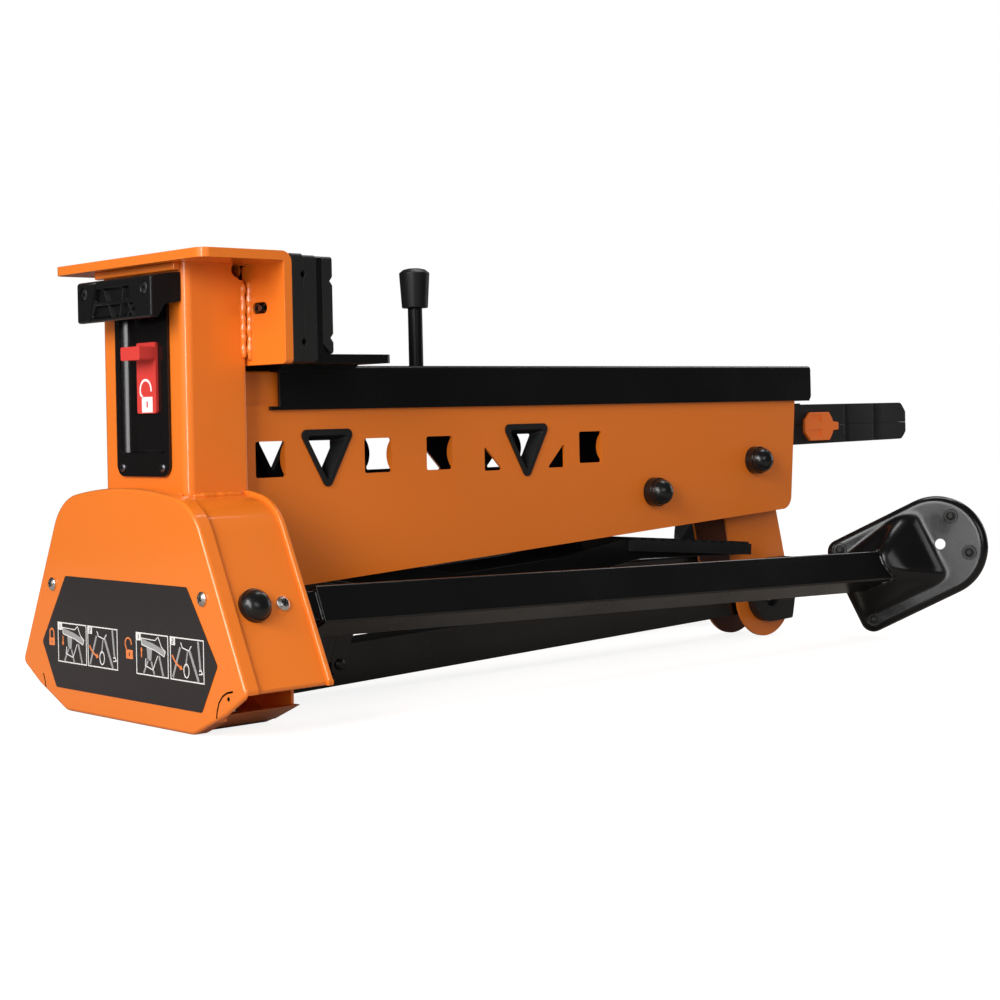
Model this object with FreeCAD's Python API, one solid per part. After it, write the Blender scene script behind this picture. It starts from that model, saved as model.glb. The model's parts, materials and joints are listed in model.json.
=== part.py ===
import FreeCAD, Part
import math
import os

os.makedirs("parts", exist_ok=True)

# Portable clamping stand, folded. All sizes are millimetres.
# While it is built, x runs from the headstock's front to the tail, y across and
# z up from the floor. The finished shapes are shifted along x so that the
# origin is under the middle of the whole stand.

# Overall heights and fits
RUNNING_GAP = 0.05
LOOSE_GAP = 0.3
SHEET = 2.5

# Jaw plate: the top shelf and the wall behind the fixed facing, one bent sheet
JAW_HALF = 111.0
JAW_SHEET = 7.5
JAW_BACK = 84.0
JAW_DROP = 88.0
JAW_BEND = 9.0
JAW_CORNER = 9.0
JAW_WALL_CORNER = 4.0
JAW_SLOT = (20.0, 9.0)
JAW_SLOT_Y = 77.0
JAW_SLOT_DROP = 43.0

# Gripping pads
FACING_THICK = (10.5, 12.3, 10.0)
FACING_DROP = (1.5, 2.6, 3.1)
FACING_JOINT_GAP = 0.3
GROOVE_WIDTH = 7.0
GROOVE_DEPTH = 2.6
GROOVE_DROPS = (18.0, 71.0)
REAR_GROOVE_DROPS = (22.5, 67.7)
GROOVE_SPREAD = 55.0

# Moving jaw
JAW_HIGH = 87.5
UPRIGHT_THICK = 6.0
BASE_THICK = 7.0
BASE_LENGTH = 71.0
BASE_FILLET = 8.0
BASE_BOLT_Y = 15.0
BASE_BOLT_RADIUS = 4.0
LUG_WIDTH = 13.5
LUG_DEEP = 5.5
LUG_SLANT = 7.0

# Column
COLUMN_FRONT = 17.0
COLUMN_REAR = 75.0
COLUMN_HALF = 60.0
COLUMN_FAR = 65.0
COLUMN_WALL = 4.0
COLUMN_RADIUS = 8.0
PEEP_X = 68.0
PEEP_DROP = 12.0
PEEP_RADIUS = 6.0

# Switch panel in the column's front
PANEL_FRONT = 14.5
PANEL_HALF = 39.2
PANEL_BOTTOM = 193.5
PANEL_DROP = 20.0
PANEL_RADIUS = 10.0
TRAY_HALF = 32.0
TRAY_BOTTOM = 212.0
TRAY_DROP = 23.0
TRAY_FLOOR = 21.5
TRAY_WALL = 2.0
SLIDER_HALF = 14.2
SLIDER_LOW = 243.8
SLIDER_LENGTH = 56.7
SLIDER_THICK = 2.3
TAB_DEEP = 14.5
TAB_BELOW = 3.5
TAB_LENGTH = 10.7
SLIDER_TRAVEL = 28.0
LINK_HALF = 8.0
LINK_THICK = 2.5
LINK_LOW = 194.0
STEM_HALF = 4.0
STEM_LENGTH = 18.0

# Vent cover under the shelf
VENT_FRONT = -10.0
VENT_HALF = 56.0
VENT_DROP = 17.5
VENT_HIGH = 32.7
VENT_WALL = 3.0
VENT_SCREW_Y = 45.3
VENT_SCREW_DROP = 27.0
VENT_FRONT_WALL = 5.2
GRILLE_DEEP = 3.8

# Headstock shell, front cover and pan: one outline seen from the front
BASE_HALF = 95.0
LOWER_CORNER = (138.5, 18.5)
WIDE_CORNER = (167.5, 35.5)
SHOULDER = (100.0, 174.2)
CROWN_TOP = 185.0
COVER_FRONT = -5.5
COVER_RIM = 12.0
SHELL_INSET = 3.0
RIB_LENGTH = 4.5
PAN_REAR = 70.0
PAN_LIP_TOP = 30.0
PAN_LIP_HALF = 121.0
PAN_NOTCH = (46.0, 48.0)
TAB_SPAN = (98.0, 126.0)
COVER_SCREW = (112.5, 103.8)
INFO_TOP_HALF = 91.0
INFO_TOP = 111.5
INFO_WIDE_HALF = 131.0
INFO_WIDE = 55.0
INFO_LOW_HALF = 109.0
INFO_LOW = 18.5
INFO_THICK = 0.5
CORNER_RADII = ((SHOULDER, 47.0), (WIDE_CORNER, 6.0), (LOWER_CORNER, 4.0), ((BASE_HALF, 0.0), 20.0))

# Body: two side plates, rails and webs
PLATE_HALF = 44.0
PLATE_TOP = 248.7
PLATE_REAR_TOP = 777.0
PLATE_REAR_LOW = 766.5
PLATE_REAR_RADIUS = 14.0
PLATE_LOW_FRONT = 96.2
PLATE_SLOPE = 0.0526
NOSE_FRONT = 32.0
RAIL_WIDTH = 14.0
RAIL_LOW = 232.0
RAIL_TOP = 276.5
RAIL_REAR = 730.0
RAIL_WALL = 2.0
WEB_XS = (250.0, 480.0)
WEB_LOW = 114.0
WEB_HIGH = 170.0
SQUARE_XS = (107.3, 219.0, 287.5, 473.8)
SQUARE_SIDE = 29.4
SQUARE_Z = 204.2
LIP_DEEP = 5.0
BEZEL_XS = (164.4, 391.2)
BEZEL_TOP = 227.7
BEZEL_HALF = 29.5
BEZEL_HIGH = 53.0
BEZEL_PROUD = 1.6
BEZEL_DEEP = 11.0
WEDGE_SIDE = 22.0
WEDGE_XS = (340.2, 439.6)
WEDGE_LOW = 186.5

# Slide
SLIDE_HALF = 48.0
SLIDE_SHEET = 3.0
SLIDE_TOP = 280.5
SLIDE_LOW = 244.3
SLIDE_FRONT = 115.0
SLIDE_REAR = 799.0
SLIDE_BEND = 4.0
LIP_FORWARD = 9.0
BAR_HALF = 4.0
BAR_LOW = 244.0
BAR_HIGH = 257.0
PAD_SPANS = ((130.0, 210.0), (650.0, 728.0))
TOP_PAD = 0.8

# Release stick on the slide
STICK_X = 299.5
STICK_RADIUS = 6.5
KNOB_TOP = 369.5
KNOB_LENGTH = 35.5
KNOB_RADII = (11.7, 13.7)
STICK_PIVOT_DROP = 9.0
STICK_SLOT = (-9.5, 30.5)

# Tail bracket and rear leg
TAIL_PIVOT = (745.0, 43.0)
TAIL_DISC = 43.0
TAIL_HALF = 23.7
TAIL_SHEET = 3.0
TAIL_TOP = 140.0
TAIL_FRONT_TOP = 684.0
TAIL_REAR_TOP = 764.0
PIVOT_COVER_RADIUS = 27.7
PIVOT_COVER_THICK = 10.0
PIVOT_PIN_RADIUS = 6.0
REAR_TUBE = 35.0
REAR_WALL = 2.0
REAR_SAG = 1.75
REAR_FOOT_ROOM = 84.0
REAR_LEAN = 13.6
REAR_FOOT_HALF = 44.0
REAR_FOOT_BACK = 20.5
REAR_HUMP = (54.0, 41.0)
REAR_HUMP_SHARE = 0.9
FRONT_HUMP = (66.0, 88.0)
FRONT_HUMP_SHARE = 0.62
REAR_FOOT_LENGTH = 86.0
CATCH_BEHIND_FOOT = 110.0
CATCH_HEIGHT = 27.0
CATCH_THICK = 3.0

# Tail grip
GRIP_REAR = 1006.0
GRIP_HALF = 20.0
GRIP_LOW = 197.0
GRIP_HIGH = 43.2
GRIP_TAPER = 2.2
GRIP_SPLIT = 21.2
GRIP_END_RADIUS = 5.0
GRIP_ROOT = 735.0
BUTTON_SPAN = (820.0, 867.0)
BUTTON_TAB = 10.0
BUTTON_BELOW = 17.2
BUTTON_ABOVE = 13.3
BUTTON_PROUD = 3.0
BUTTON_TRAVEL = 4.0

# Front legs. The near leg hangs on the near cheek and the far one mirrors it.
LEG_PIVOT_X = 25.0
LEG_PIVOT_Z = 98.0
LEG_SAG = 1.65
LEG_OPEN = 97.0
LEG_WIDE = 31.5
LEG_DEEP = 35.0
LEG_WALL = 2.0
LEG_FACE = SHELL_INSET + SHEET + LOOSE_GAP
LEG_TUBE_START = 64.0
ROOT_WIDE = 24.0
ROOT_DEEP = 25.0
ROOT_FACE = LEG_FACE + LEG_WALL + 0.5
ROOT_END = 102.0
ROOT_WALL = 3.0
LEG_BOLT_RADIUS = 5.0
FOOT_TOP = -617.0
FOOT_X = -94.0
FOOT_HALF = 51.5
FOOT_INNER = -410.0
FOOT_CENTRE = -515.0
FOOT_SHEET = 3.0
FOOT_RIM = 9.0
HUMP_HIGH = 19.0
FOOT_HOLE = 5.5
STUD_RADIUS = 7.0
STUD_PROUD = 3.0

# Pedal
PEDAL_PIVOT = (118.0, 122.0)
PEDAL_AXLE_RADIUS = 6.0
ARM_INNER = 34.0
ARM_OUTER = 39.0
PEDAL_OPEN = 88.0
TREAD_SPAN = (528.0, 701.0)
TREAD_HEIGHTS = (115.6, 101.0)
TREAD_INNER = 25.0
TREAD_OUTER = 45.0
TREAD_THICK = 5.0
ARM_KNEE = 91.0
ARM_BEND = 218.0
TREAD_RIBS = 12
CRANK_LENGTH = 14.0
CRANK_PIN = 3.0
ROD_TRAVEL = 12.5
ROD_RADIUS = 4.0
ROD_Z = 136.0

# Clamp lever and grip plates
LEVER_PIVOT = (558.3, 158.3)
LEVER_AXLE_RADIUS = 6.0
LEVER_HIGH = 240.0
TAIL_AXLE = (709.0, 184.2)
GRIP_PLATE_X = 632.0
GRIP_PLATE_Z = 236.0

# Fasteners and caps
CAP_RADIUS = 12.5
CAP_HIGH = 13.0
BODY_CAP_RADIUS = 13.2
BODY_CAP_HIGH = 22.0
SCREW_RADIUS = 5.0
SCREW_HIGH = 2.6
ZINC_SCREW_X = 52.0

# Derived places
COLUMN_TOP = SLIDE_TOP + JAW_HIGH
STAND_MIDDLE = (VENT_FRONT + GRIP_REAR) / 2
VENT_TOP = COLUMN_TOP - VENT_DROP
VENT_BOTTOM = VENT_TOP - VENT_HIGH
VENT_SCREW_Z = COLUMN_TOP - VENT_SCREW_DROP
PANEL_TOP = COLUMN_TOP - PANEL_DROP
TRAY_TOP = COLUMN_TOP - TRAY_DROP
SLIDER_HIGH = SLIDER_LOW + SLIDER_LENGTH
TAB_HIGH = SLIDER_HIGH - TAB_BELOW
TAB_LOW = TAB_HIGH - TAB_LENGTH
STEM_HIGH = TAB_HIGH
STEM_LOW = STEM_HIGH - STEM_LENGTH
KNOB_LOW = KNOB_TOP - KNOB_LENGTH
STICK_PIVOT_Z = SLIDE_TOP - STICK_PIVOT_DROP
GRIP_TOP = GRIP_LOW + GRIP_HIGH
GRIP_SEAM = GRIP_LOW + GRIP_SPLIT
BUTTON_LOW = GRIP_SEAM - BUTTON_BELOW
BUTTON_HIGH = GRIP_SEAM + BUTTON_ABOVE
COVER_BACK = COVER_FRONT + SHEET
NEAR_CUT = (-PLATE_HALF - 16.0, -PLATE_HALF + 14.0)
REAR_REACH = TAIL_PIVOT[0] - COVER_BACK - REAR_FOOT_ROOM
CATCH_BOLT = (TAIL_PIVOT[0] - REAR_REACH + CATCH_BEHIND_FOOT, CATCH_HEIGHT)
CHEEK_RUN = (WIDE_CORNER[0] - SHOULDER[0]) / (SHOULDER[1] - WIDE_CORNER[1])
CHEEK_TILT = math.degrees(math.atan(CHEEK_RUN))
LEG_PIVOT = (LEG_PIVOT_X, -WIDE_CORNER[0] + CHEEK_RUN * (LEG_PIVOT_Z - WIDE_CORNER[1]), LEG_PIVOT_Z)
PLATE_INNER = PLATE_HALF - SHEET
RAIL_INNER = PLATE_INNER - RAIL_WIDTH
SLIDE_INNER = SLIDE_HALF - SLIDE_SHEET
FIXED_FACING_REAR = JAW_BACK + FACING_THICK[0]
MOVING_FACING_FRONT = FIXED_FACING_REAR + FACING_JOINT_GAP
UPRIGHT_FRONT = MOVING_FACING_FRONT + FACING_THICK[1]
UPRIGHT_REAR = UPRIGHT_FRONT + UPRIGHT_THICK
REAR_FACING_REAR = UPRIGHT_REAR + FACING_THICK[2]
BASE_BOLT_X = UPRIGHT_REAR + 45
JAW_LOW = COLUMN_TOP - JAW_DROP
SHELF_UNDER = COLUMN_TOP - JAW_SHEET
BASE_TOP = SLIDE_TOP + BASE_THICK
X = FreeCAD.Vector(1, 0, 0)
Y = FreeCAD.Vector(0, 1, 0)
Z = FreeCAD.Vector(0, 0, 1)


def vec(x, y, z):
    return FreeCAD.Vector(x, y, z)


def box(xs, ys, zs):
    return Part.makeBox(xs[1] - xs[0], ys[1] - ys[0], zs[1] - zs[0], vec(xs[0], ys[0], zs[0]))


def rod(start, end, radius):
    along = end - start
    return Part.makeCylinder(radius, along.Length, start, along)


def ring(start, end, outer, inner):
    return rod(start, end, outer).cut(rod(start, end, inner))


def fuse(shapes):
    whole = shapes[0]
    for shape in shapes[1:]:
        whole = whole.fuse(shape)
    return whole.removeSplitter()


def cut_all(shape, tools):
    for tool in tools:
        shape = shape.cut(tool)
    return shape


def mirrored(shape):
    return shape.mirror(vec(0, 0, 0), Y)


def both_sides(shape):
    return [shape, mirrored(shape)]


# Outlines: a place turns the flat (u, v) of an outline into a point in space
def facing_x(at):
    return lambda u, v: vec(at, u, v)


def facing_y(at):
    return lambda u, v: vec(u, at, v)


def facing_z(at):
    return lambda u, v: vec(u, v, at)


def rounded_wire(points, radii, place):
    """Closed outline with straight sides and a tangent arc at each rounded corner."""
    count = len(points)
    if not isinstance(radii, (list, tuple)):
        radii = [radii] * count
    corners = []
    for index, (u, v) in enumerate(points):
        before = points[index - 1]
        after = points[(index + 1) % count]
        back = unit(before[0] - u, before[1] - v)
        ahead = unit(after[0] - u, after[1] - v)
        half = math.acos(max(-1.0, min(1.0, back[0] * ahead[0] + back[1] * ahead[1]))) / 2
        radius = radii[index]
        if radius <= 0:
            corners.append(((u, v), None, (u, v)))
            continue
        run = radius / math.tan(half)
        middle = unit(back[0] + ahead[0], back[1] + ahead[1])
        reach = radius / math.sin(half) - radius
        corners.append((
            (u + back[0] * run, v + back[1] * run),
            (u + middle[0] * reach, v + middle[1] * reach),
            (u + ahead[0] * run, v + ahead[1] * run)))
    edges = []
    for index, (start, middle, end) in enumerate(corners):
        if middle is not None:
            edges.append(Part.Arc(place(*start), place(*middle), place(*end)).toShape())
        following = corners[(index + 1) % count][0]
        first = place(*end)
        second = place(*following)
        if (second - first).Length > 1e-6:
            edges.append(Part.LineSegment(first, second).toShape())
    return Part.Wire(edges)


def unit(u, v):
    length = math.hypot(u, v)
    return (u / length, v / length)


def slab(points, radii, place, span, along):
    """Rounded outline extruded from span[0] to span[1]; place is a maker such as facing_x."""
    face = Part.Face(rounded_wire(points, radii, place(span[0])))
    return face.extrude(along * (span[1] - span[0]))


def slab_x(points, radii, span):
    return slab(points, radii, facing_x, span, X)


def slab_y(points, radii, span):
    return slab(points, radii, facing_y, span, Y)


def slab_z(points, radii, span):
    return slab(points, radii, facing_z, span, Z)


def rectangle(us, vs):
    return [(us[0], vs[0]), (us[1], vs[0]), (us[1], vs[1]), (us[0], vs[1])]


def circle_y(x, z, radius, ys):
    return Part.makeCylinder(radius, ys[1] - ys[0], vec(x, ys[0], z), Y)


def screw_head(at, out, radius=SCREW_RADIUS, high=SCREW_HIGH, shank=6.0, shank_radius=2.2):
    """Pan-head screw: the head stands out of the surface and the shank goes in."""
    head = Part.makeCylinder(radius, high * 0.45, at, out)
    top = Part.makeCone(radius, radius * 0.55, high * 0.55, at + out * (high * 0.45), out)
    return fuse([head, top, rod(at - out * shank, at, shank_radius)])


def dome_cap(at, out, radius=CAP_RADIUS, high=CAP_HIGH):
    """Push-on cap: a short round wall that ends in a rounded top."""
    wall = high * 0.45
    turn = math.radians(50)
    waist = vec(radius * 0.97, 0, wall)
    middle = vec(radius * 0.97 * math.cos(turn), 0, wall + (high - wall) * math.sin(turn))
    top = vec(radius * 0.12, 0, high)
    edges = [Part.LineSegment(vec(0, 0, 0), vec(radius, 0, 0)).toShape(),
             Part.LineSegment(vec(radius, 0, 0), waist).toShape(),
             Part.Arc(waist, middle, top).toShape(),
             Part.LineSegment(top, vec(0, 0, high)).toShape(),
             Part.LineSegment(vec(0, 0, high), vec(0, 0, 0)).toShape()]
    cap = Part.Face(Part.Wire(edges)).revolve(vec(0, 0, 0), Z, 360)
    cap.Placement = FreeCAD.Placement(at, FreeCAD.Rotation(Z, out))
    return cap


# Headstock outline, seen from the front
def headstock_face(at, inset):
    place = facing_x(at)
    crown = Part.Arc(place(*SHOULDER), place(0, CROWN_TOP), place(-SHOULDER[0], SHOULDER[1]))
    half = [SHOULDER, WIDE_CORNER, LOWER_CORNER, (BASE_HALF, 0.0)]
    points = half + [(-y, z) for y, z in half[::-1]]
    edges = [crown.toShape()]
    for first, second in zip(points[:-1], points[1:]):
        edges.append(Part.LineSegment(place(*first), place(*second)).toShape())
    solid = Part.Face(Part.Wire(Part.__sortEdges__(edges))).extrude(X * 10.0)
    for corner, radius in CORNER_RADII:
        solid = solid.makeFillet(radius, [edge for edge in solid.Edges
                                          if runs_along_corner(edge, corner)])
    outline = [side for side in solid.Faces if side.BoundBox.XMax < at + 1e-6][0]
    face = Part.Face(outline.OuterWire)
    return face.makeOffset2D(-inset) if inset else face


def runs_along_corner(edge, corner):
    start = edge.Vertexes[0].Point
    end = edge.Vertexes[-1].Point
    if abs(start.y - end.y) > 1e-6 or abs(start.z - end.z) > 1e-6:
        return False
    return abs(abs(start.y) - corner[0]) < 1e-3 and abs(start.z - corner[1]) < 1e-3


def headstock_solid(xs, inset):
    return headstock_face(xs[0], inset).extrude(X * (xs[1] - xs[0]))


def headstock_band(xs, outer_inset, inner_inset):
    return headstock_solid(xs, outer_inset).cut(headstock_solid(xs, inner_inset))


BELOW_CHEEK = box((-50, 200), (-300, 300), (-20, WIDE_CORNER[1]))
CHEEK_OUT = vec(0, -math.cos(math.radians(CHEEK_TILT)), math.sin(math.radians(CHEEK_TILT)))
CHEEK_DOWN = vec(0, -math.sin(math.radians(CHEEK_TILT)), -math.cos(math.radians(CHEEK_TILT)))
PIVOT_POINT = vec(*LEG_PIVOT)
LEG_AXIS = CHEEK_OUT * -1


def cheek_point(x, depth, down=0.0):
    """Point beside the leg pivot: depth is measured inward from the outline."""
    return vec(x, LEG_PIVOT[1], LEG_PIVOT[2]) - CHEEK_OUT * depth + CHEEK_DOWN * down


def make_shell():
    strip = headstock_band((COVER_BACK, COLUMN_REAR), SHELL_INSET, SHELL_INSET + SHEET)
    rib = headstock_band((COLUMN_REAR - RIB_LENGTH, COLUMN_REAR), 0.0, SHELL_INSET + SHEET)
    # Below the pivot nothing stands inside the cheeks, so the leg roots can swing out
    inner = [cheek_point(COVER_BACK - 1, depth, down)
             for depth, down in ((5.5, 40), (5.5, 110), (70, 110), (70, 40))]
    room = Part.Face(Part.makePolygon(inner + [inner[0]])).extrude(X * (COLUMN_REAR - COVER_BACK + 2))
    shell = cut_all(strip.fuse(rib), [BELOW_CHEEK] + both_sides(room))
    window = box((COLUMN_FRONT + 5, COLUMN_REAR - 12), (-45, 45), (150, 200))
    shell = shell.cut(window)
    tab = box((COVER_BACK, COVER_BACK + SHEET), TAB_SPAN, (COVER_SCREW[1] - 11, COVER_SCREW[1] + 11))
    tab = tab.fuse(box((COVER_BACK, COVER_BACK + SHEET), (TAB_SPAN[1] - 1, TAB_SPAN[1] + 14),
                       (COVER_SCREW[1] - 11, COVER_SCREW[1] + 11)))
    tab = tab.common(headstock_solid((COVER_BACK, COLUMN_REAR), SHELL_INSET))
    tab = tab.cut(rod(vec(-10, COVER_SCREW[0], COVER_SCREW[1]), vec(10, COVER_SCREW[0], COVER_SCREW[1]),
                      2.2))
    shell = shell.fuse(both_sides(tab))
    bores = []
    for x, radius in ((LEG_PIVOT[0], LEG_BOLT_RADIUS), (ZINC_SCREW_X, 2.2)):
        bore = rod(cheek_point(x, -5), cheek_point(x, 15), radius)
        bores += both_sides(bore)
    return cut_all(shell, bores).removeSplitter()


def make_cover():
    plate = headstock_solid((COVER_FRONT, COVER_BACK), 0.0)
    rim = headstock_band((COVER_BACK, COVER_FRONT + COVER_RIM), 0.0, SHEET)
    # The rim stops at the lower slopes, where the opened legs pass behind the plate
    for side in (-1, 1):
        rim = rim.cut(box((COVER_BACK, 20), sorted((side * 124, side * 200)),
                          (-5, WIDE_CORNER[1] + 0.5)))
    cover = plate.fuse(rim).removeSplitter()
    screws = []
    for side in (-1, 1):
        y = side * COVER_SCREW[0]
        screws.append(rod(vec(-20, y, COVER_SCREW[1]), vec(20, y, COVER_SCREW[1]), 2.2))
    return cut_all(cover, screws)


def make_instruction_plate():
    """Thin six-sided plate for printed directions on the front cover."""
    half = [(INFO_TOP_HALF, INFO_TOP), (INFO_WIDE_HALF, INFO_WIDE), (INFO_LOW_HALF, INFO_LOW)]
    outline = [(-y, z) for y, z in half] + half[::-1]
    return slab_x(outline, 3, (COVER_FRONT - INFO_THICK, COVER_FRONT))


def make_pan():
    tray = headstock_band((COVER_BACK, PAN_REAR), SHELL_INSET, SHELL_INSET + SHEET)
    tray = tray.common(box((-50, 200), (-300, 300), (-5, LOWER_CORNER[1] - 0.6)))
    wall = headstock_solid((PAN_REAR - SHEET, PAN_REAR), SHELL_INSET)
    wall = wall.common(box((-50, 200), (-PAN_LIP_HALF, PAN_LIP_HALF), (-5, PAN_LIP_TOP)))
    pan = tray.fuse(wall).removeSplitter()
    # The flat bottom reaches the floor behind the cover's rim and runs out into the slopes
    slope = LOWER_CORNER[1] / (LOWER_CORNER[0] - BASE_HALF)
    reach = BASE_HALF + 9
    under = slope * (reach - BASE_HALF) + SHELL_INSET / math.cos(math.atan(slope))
    half = [(BASE_HALF - 11, 0), (reach, under), (reach, under + 1.2),
            (BASE_HALF - 4, SHELL_INSET + 1.2)]
    outline = [(-y, z) for y, z in half[::-1]] + half
    foot = slab_x(outline, 0, (COVER_FRONT + COVER_RIM + LOOSE_GAP, PAN_REAR))
    notch = box((PAN_NOTCH[0], PAN_REAR + 20), (-PAN_NOTCH[1], PAN_NOTCH[1]), (-5, 60))
    return pan.fuse(foot).cut(notch).removeSplitter()


def make_column():
    outer = slab_z(rectangle((COLUMN_FRONT, COLUMN_REAR), (-COLUMN_HALF, COLUMN_FAR)),
                   [COLUMN_RADIUS, 3, 3, COLUMN_RADIUS], (165, SHELF_UNDER))
    inner = slab_z(rectangle((COLUMN_FRONT + COLUMN_WALL, COLUMN_REAR - COLUMN_WALL),
                             (-COLUMN_HALF + COLUMN_WALL, COLUMN_FAR - COLUMN_WALL)),
                   [COLUMN_RADIUS - COLUMN_WALL, 1, 1, COLUMN_RADIUS - COLUMN_WALL], (150, SHELF_UNDER))
    column = outer.cut(inner)
    column = column.cut(headstock_solid((0, COLUMN_REAR + 1), SHELL_INSET))
    column = column.cut(headstock_solid((COLUMN_REAR - RIB_LENGTH, COLUMN_REAR + 1), 0.0))
    hole = TRAY_HALF + TRAY_WALL
    window = slab_x(rectangle((-hole, hole), (TRAY_BOTTOM - TRAY_WALL, TRAY_TOP + TRAY_WALL)), 4,
                    (COLUMN_FRONT - 5, COLUMN_FRONT + COLUMN_WALL + 3))
    peep = circle_y(PEEP_X, COLUMN_TOP - PEEP_DROP, PEEP_RADIUS, (-100, 100))
    screws = []
    for y in (-PANEL_HALF + 9.5, PANEL_HALF - 9.5):
        screws.append(rod(vec(0, y, PANEL_BOTTOM + 7), vec(30, y, PANEL_BOTTOM + 7), 1.8))
    for y in (-VENT_SCREW_Y, VENT_SCREW_Y):
        screws.append(rod(vec(0, y, VENT_SCREW_Z), vec(30, y, VENT_SCREW_Z), 1.8))
    # The rear wall is open between the body's side plates, where the clamp works
    throat = box((COLUMN_REAR - COLUMN_WALL - 1, COLUMN_REAR + 1), (-PLATE_INNER + 4, PLATE_INNER - 4),
                 (180, 226))
    return cut_all(column, [window, peep, throat] + screws)


def make_panel():
    flange = slab_x(rectangle((-PANEL_HALF, PANEL_HALF), (PANEL_BOTTOM, PANEL_TOP)),
                    [PANEL_RADIUS, PANEL_RADIUS, 3, 3], (PANEL_FRONT, COLUMN_FRONT))
    outer = TRAY_HALF + TRAY_WALL - LOOSE_GAP
    tray = slab_x(rectangle((-outer, outer),
                            (TRAY_BOTTOM - TRAY_WALL + LOOSE_GAP, TRAY_TOP + TRAY_WALL - LOOSE_GAP)),
                  4, (PANEL_FRONT, TRAY_FLOOR + TRAY_WALL))
    hollow = slab_x(rectangle((-TRAY_HALF, TRAY_HALF), (TRAY_BOTTOM, TRAY_TOP)), 3, (0, TRAY_FLOOR))
    slot = slab_x(rectangle((-STEM_HALF - LOOSE_GAP, STEM_HALF + LOOSE_GAP),
                            (STEM_LOW - SLIDER_TRAVEL - 1, STEM_HIGH + 1)), 2, (0, 40))
    panel = flange.fuse(tray).removeSplitter()
    panel = cut_all(panel, [hollow, slot])
    for y in (-PANEL_HALF + 9.5, PANEL_HALF - 9.5):
        panel = panel.cut(rod(vec(0, y, PANEL_BOTTOM + 7), vec(30, y, PANEL_BOTTOM + 7), 2.2))
    return panel


def make_slider():
    back = TRAY_FLOOR - 0.1
    front = back - SLIDER_THICK
    plate = slab_x(rectangle((-SLIDER_HALF, SLIDER_HALF), (SLIDER_LOW, SLIDER_HIGH)), 2, (front, back))
    tab = slab_x(rectangle((-SLIDER_HALF, SLIDER_HALF), (TAB_LOW, TAB_HIGH)), 1.5,
                 (front - TAB_DEEP, back))
    stem = box((back - 0.5, TRAY_FLOOR + TRAY_WALL + 1), (-STEM_HALF, STEM_HALF), (STEM_LOW, STEM_HIGH))
    return fuse([plate, tab, stem])


def make_link():
    """Flat link behind the panel that the slider pushes down."""
    front = TRAY_FLOOR + TRAY_WALL + 1
    strip = slab_x(rectangle((-LINK_HALF, LINK_HALF), (LINK_LOW, STEM_HIGH + 2)), 2,
                   (front, front + LINK_THICK))
    hook = box((front, front + 16), (-LINK_HALF, LINK_HALF), (LINK_LOW, LINK_LOW + 4))
    return fuse([strip, hook])


def make_vent_cover():
    profile = [(VENT_FRONT, VENT_BOTTOM), (VENT_FRONT + 6.2, VENT_BOTTOM),
               (VENT_FRONT + 12.7, VENT_BOTTOM + 10.2),
               (COLUMN_FRONT - 0.1, VENT_BOTTOM + 12.5), (COLUMN_FRONT - 0.1, VENT_TOP + 2.9),
               (VENT_FRONT, VENT_TOP)]
    cover = slab_y(profile, [2, 1, 1, 1, 1, 3], (-VENT_HALF, VENT_HALF))
    inside = VENT_FRONT + VENT_FRONT_WALL
    inner = [(inside, VENT_BOTTOM - 20), (COLUMN_FRONT + 5, VENT_BOTTOM - 20),
             (COLUMN_FRONT + 5, VENT_TOP - VENT_WALL + 2.9), (inside, VENT_TOP - VENT_WALL)]
    cover = cover.cut(slab_y(inner, 0, (-VENT_HALF + VENT_WALL, VENT_HALF - VENT_WALL)))
    bosses = []
    for y in (-VENT_SCREW_Y, VENT_SCREW_Y):
        start = vec(VENT_FRONT + 1, y, VENT_SCREW_Z)
        bosses.append(rod(start, vec(COLUMN_FRONT - 0.1, y, VENT_SCREW_Z), 5.0))
    cover = fuse([cover] + bosses)
    bores = []
    for y in (-VENT_SCREW_Y, VENT_SCREW_Y):
        bores.append(rod(vec(-20, y, VENT_SCREW_Z), vec(30, y, VENT_SCREW_Z), 2.2))
        bores.append(rod(vec(-20, y, VENT_SCREW_Z), vec(VENT_FRONT + 1.5, y, VENT_SCREW_Z), 5.4))
    return cut_all(cover, bores + vent_openings())


def vent_openings():
    """Two rows of slanted grille pockets; heights are measured from the cover's lower edge."""
    top = [[(-25.5, 26.2), (-18.5, 26.2), (-14.5, 16.2), (-28, 16.2)],
           [(-14.8, 26.2), (11, 26.2), (9, 16.2), (-11, 16.2)],
           [(15, 26.2), (24, 26.2), (27, 16.2), (13, 16.2)]]
    low = [[(-33, 4.2), (-29.5, 12.7), (-13, 12.7), (-8.5, 4.2)],
           [(-9.2, 12.7), (8, 12.7), (5.4, 4.2), (-4.8, 4.2)],
           [(11.8, 12.7), (28, 12.7), (32.5, 4.2), (9.6, 4.2)]]
    span = (VENT_FRONT - 2, VENT_FRONT + GRILLE_DEEP)
    return [slab_x([(-u, VENT_BOTTOM + v) for u, v in shape], 0.6, span) for shape in top + low]


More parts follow.
